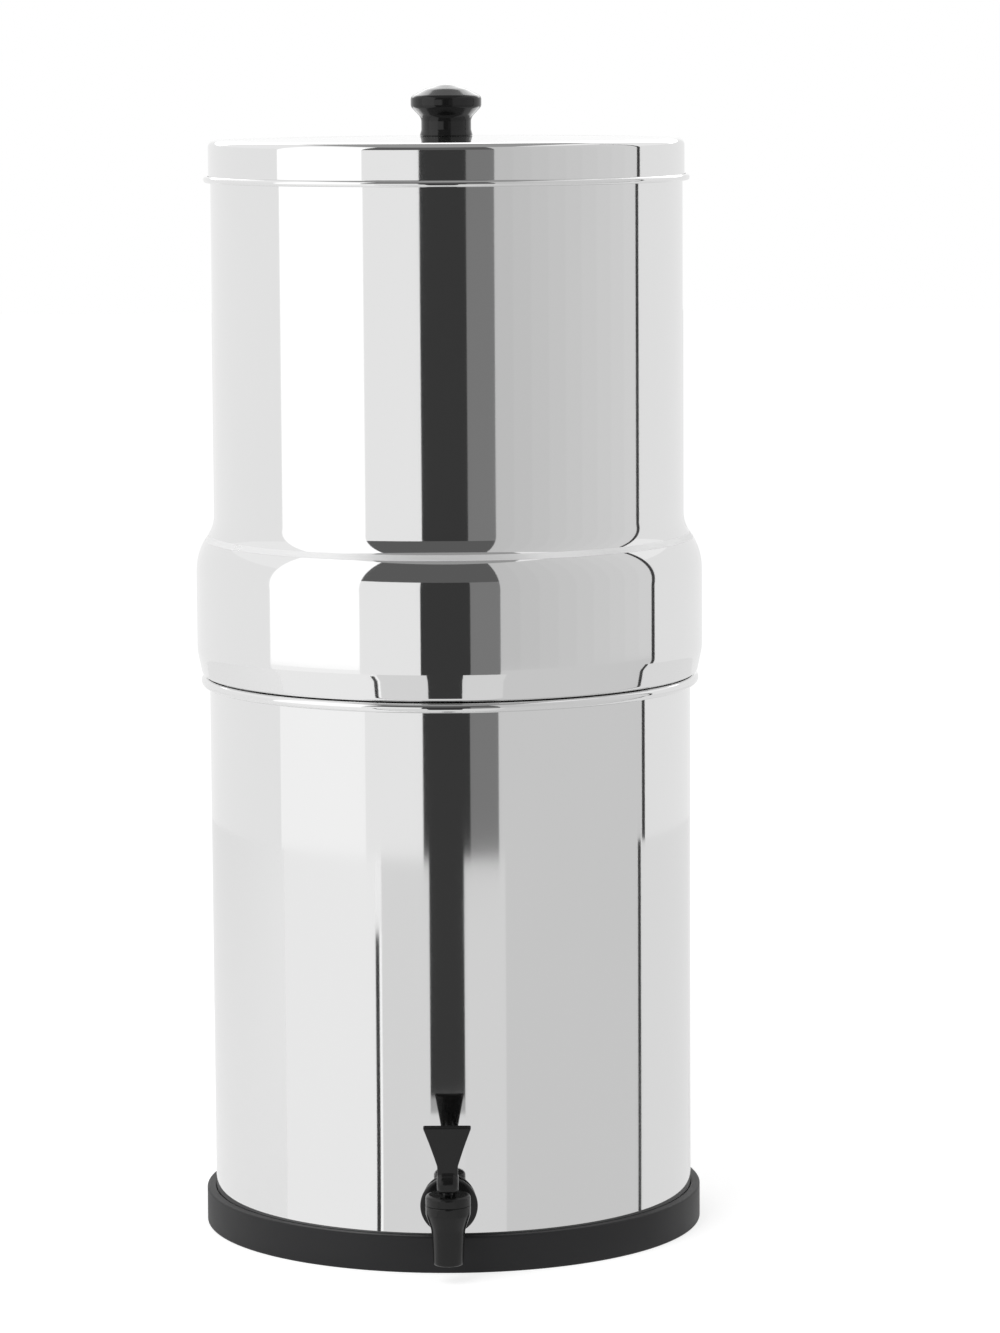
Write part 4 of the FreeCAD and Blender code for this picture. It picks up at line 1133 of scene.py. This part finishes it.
class WATERFILTER_OT_stage(bpy.types.Operator):
    """Set up the floor, the even light, the reflection cards and the camera"""
    bl_idname = "water_filter.stage"
    bl_label = "Stage"

    def execute(self, context):
        s = context.scene.water_filter.stage
        self.world(context, s)
        self.floor(s)
        self.cards()
        self.mats()
        self.lamp(s)
        self.camera(context, s)
        context.scene.view_settings.view_transform = "Standard"
        return {"FINISHED"}

    def world(self, context, s):
        """White wherever it is seen, and softer where it lights."""
        world = bpy.data.worlds.new("even_light")
        context.scene.world = world
        world.use_nodes = True
        tree = world.node_tree
        tree.nodes.clear()
        ray = add(tree, "ShaderNodeLightPath").node.outputs
        shown = ray["Is Camera Ray"]
        for kind in ("Is Glossy Ray", "Is Transmission Ray"):
            shown = add(tree, "ShaderNodeMath", shown, ray[kind], operation="MAXIMUM")
        lights, shows = [add(tree, "ShaderNodeBackground", Color=WHITE, Strength=strength)
                         for strength in (s.ambient, 1.0)]
        mix = add(tree, "ShaderNodeMixShader", shown, lights, shows)
        add(tree, "ShaderNodeOutputWorld", Surface=mix)

    def floor(self, s):
        """A white floor that keeps part of the shadow that falls on it."""
        half = s.floor_half
        mesh = bpy.data.meshes.new("floor")
        mesh.from_pydata([(-half, -half, 0), (half, -half, 0), (half, half, 0), (-half, half, 0)],
                         [], [(0, 1, 2, 3)])
        material, tree = shader_tree("floor_paper")
        ray = add(tree, "ShaderNodeLightPath").node.outputs
        matt = add(tree, "ShaderNodeBsdfDiffuse", Color=(0.5, 0.5, 0.5, 1))
        strength = add(tree, "ShaderNodeMapRange", Value=ray["Is Camera Ray"], To_Min=0.5,
                       To_Max=0.7)
        light = add(tree, "ShaderNodeEmission", Strength=strength)
        both = add(tree, "ShaderNodeAddShader", matt, light)
        add(tree, "ShaderNodeOutputMaterial", Surface=both)
        mesh.materials.append(material)
        new_object("floor", mesh)

    def cards(self):
        """What the steel mirrors: a dark flag at the camera, grey and white panels beside it."""
        flag_left, flag_right = -11.4, 9.8
        near_left, near_right = -38, 22.7
        side_left, side_right = -84, 101
        gap_right, rear = 103.3, 165
        # Heights: the low strips, the cards in front, the far cards and the tall ones.
        low, front, far, top = 0.14, 0.7, 0.85, 1.9
        dark = 0.05
        # Name, first and last angle in degrees, foot and top in metres, strength.
        for name, *place, strength in (
                ("dark_flag", flag_left, flag_right, 0, front, 0.045),
                ("grey_panel", flag_right, near_right, 0, front, 0.22),
                ("dark_above", near_left, near_right, front, top, 0.12),
                ("left_near", near_left, flag_left, 0, front, 0.96),
                ("left_bright", side_left, near_left, low, top, 1.3),
                ("left_low", side_left, near_left, 0, low, 1.08),
                ("left_far", -rear, side_left, 0, far, 0.94),
                ("thin_gap", side_right, gap_right, 0, top, dark),
                ("right_low", near_right, side_right, 0, low, 0.69),
                ("right_far", gap_right, rear, 0, far, 0.9),
                ("back_flag", 173.5, 186.5, 0, 0.5, dark),
                ("back_light", 140, 220, far, top, 3.0)):
            card(name, *place, strength)
        # The right side brightens away from the camera.
        strips = 9
        width = (side_right - near_right) / strips
        for k in range(strips):
            start = near_right + width * k
            card(f"right_panel_{k}", start, start + width, low, top, 0.62 + 0.018 * k)
        band("overhead", [[(x, y, top) for y in (-1.38, 0.6)] for x in (-0.9, 0.86)], 0.36)

    def mats(self):
        """What the lower chamber mirrors from the floor, where a dark bar fades over the tap."""
        line, glint, left = -17.3, -16.4, -15.8
        bar_left, bar_right, right = -4.6, 3.4, 13
        gap, gap_end = 49.8, 50.9
        near, patch, bar = 0.02, 0.366, 0.41
        line_near, line_far = 0.05, 0.94
        dark = 0.05
        # Name, first and last angle on the wall in degrees, near and far end in metres, strength.
        # Without a far end, a mat reaches to the cards.
        for name, *place, strength in (
                ("mat_left", left, bar_left, near, None, 0.80),
                ("mat_right", bar_right, right, near, None, 0.78),
                ("mat_middle", bar_left, bar_right, near, patch, 0.8),
                ("mat_patch", bar_left, bar_right, patch, bar, 0.4),
                ("mat_dark", bar_left, bar_right, bar, None, 0.045),
                ("mat_line", line, glint, line_near, line_far, dark),
                ("mat_glint", glint, left, line_near, line_far, 1.15),
                ("mat_grey", right, gap, near, None, 0.69),
                ("mat_gap", gap, gap_end, near, None, dark),
                ("mat_far", gap_end, 80, near, None, 0.84),
                ("mat_bright", -42, line, near, None, 1.0)):
            floor_mat(name, *place, strength)


    def lamp(self, s):
        """A broad soft lamp up on the left, which reflections don't show."""
        light = bpy.data.lights.new("soft_lamp", "AREA")
        light.energy = s.lamp
        light.shape = "RECTANGLE"
        light.size, light.size_y = s.lamp_width, s.lamp_depth
        lamp = bpy.data.objects.new("soft_lamp", light)
        bpy.context.scene.collection.objects.link(lamp)
        lamp.location = (-1.1, -1.5, 2.0)
        aim = Vector((0, 0, 0.3)) - lamp.location
        lamp.rotation_euler = aim.to_track_quat("-Z", "Y").to_euler()
        lamp.visible_camera = False
        lamp.visible_glossy = False

    def camera(self, context, s):
        """Stands where the photograph was taken from."""
        data = bpy.data.cameras.new("camera")
        data.lens = s.lens
        data.sensor_width = 36.0
        camera = bpy.data.objects.new("camera", data)
        bpy.context.scene.collection.objects.link(camera)
        camera.matrix_world = (
            Matrix.Rotation(s.azimuth, 4, "Z")
            @ Matrix.Translation((0, -s.camera_distance, s.camera_height))
            @ Matrix.Rotation(-s.pan, 4, "Z")
            @ Matrix.Rotation(math.pi / 2 - s.pitch, 4, "X")
            @ Matrix.Rotation(s.roll, 4, "Z"))
        context.scene.camera = camera


class WATERFILTER_PT_sidebar(bpy.types.Panel):
    """Lists the filter's pieces and their sizes"""
    bl_idname = "WATERFILTER_PT_sidebar"
    bl_label = "Water Filter"
    bl_space_type = "VIEW_3D"
    bl_region_type = "UI"
    bl_category = "Water Filter"

    def draw(self, context):
        settings = context.scene.water_filter
        for operator in OPERATORS:
            self.layout.operator(operator.bl_idname)
        for group in ("chambers", "lid", "knob", "ring", "tap", "lever", "inner", "finishes",
                      "stage"):
            box = self.layout.box()
            values = getattr(settings, group)
            box.label(text=settings.bl_rna.properties[group].name)
            for name in values.bl_rna.properties.keys():
                if name not in ("rna_type", "name"):
                    box.prop(values, name)


GROUPS = (ChamberSizes, LidSizes, KnobSizes, RingSizes, TapSizes, LeverSizes, InnerSizes,
          FinishSettings, StageSettings, FilterSettings)
OPERATORS = (
    WATERFILTER_OT_base_ring, WATERFILTER_OT_lower_chamber, WATERFILTER_OT_upper_chamber,
    WATERFILTER_OT_lid, WATERFILTER_OT_lid_knob, WATERFILTER_OT_tap_body,
    WATERFILTER_OT_tap_bonnet, WATERFILTER_OT_tap_lever, WATERFILTER_OT_tap_spring,
    WATERFILTER_OT_elements, WATERFILTER_OT_floor_fittings, WATERFILTER_OT_carried_over,
    WATERFILTER_OT_stage)


def register():
    for item in (*GROUPS, *OPERATORS, WATERFILTER_PT_sidebar):
        bpy.utils.register_class(item)
    bpy.types.Scene.water_filter = PointerProperty(type=FilterSettings)


def unregister():
    del bpy.types.Scene.water_filter
    for item in reversed((*GROUPS, *OPERATORS, WATERFILTER_PT_sidebar)):
        bpy.utils.unregister_class(item)


def main():
    register()
    for operator in OPERATORS:
        group, name = operator.bl_idname.split(".")
        getattr(getattr(bpy.ops, group), name)()


if __name__ == "__main__":
    main()
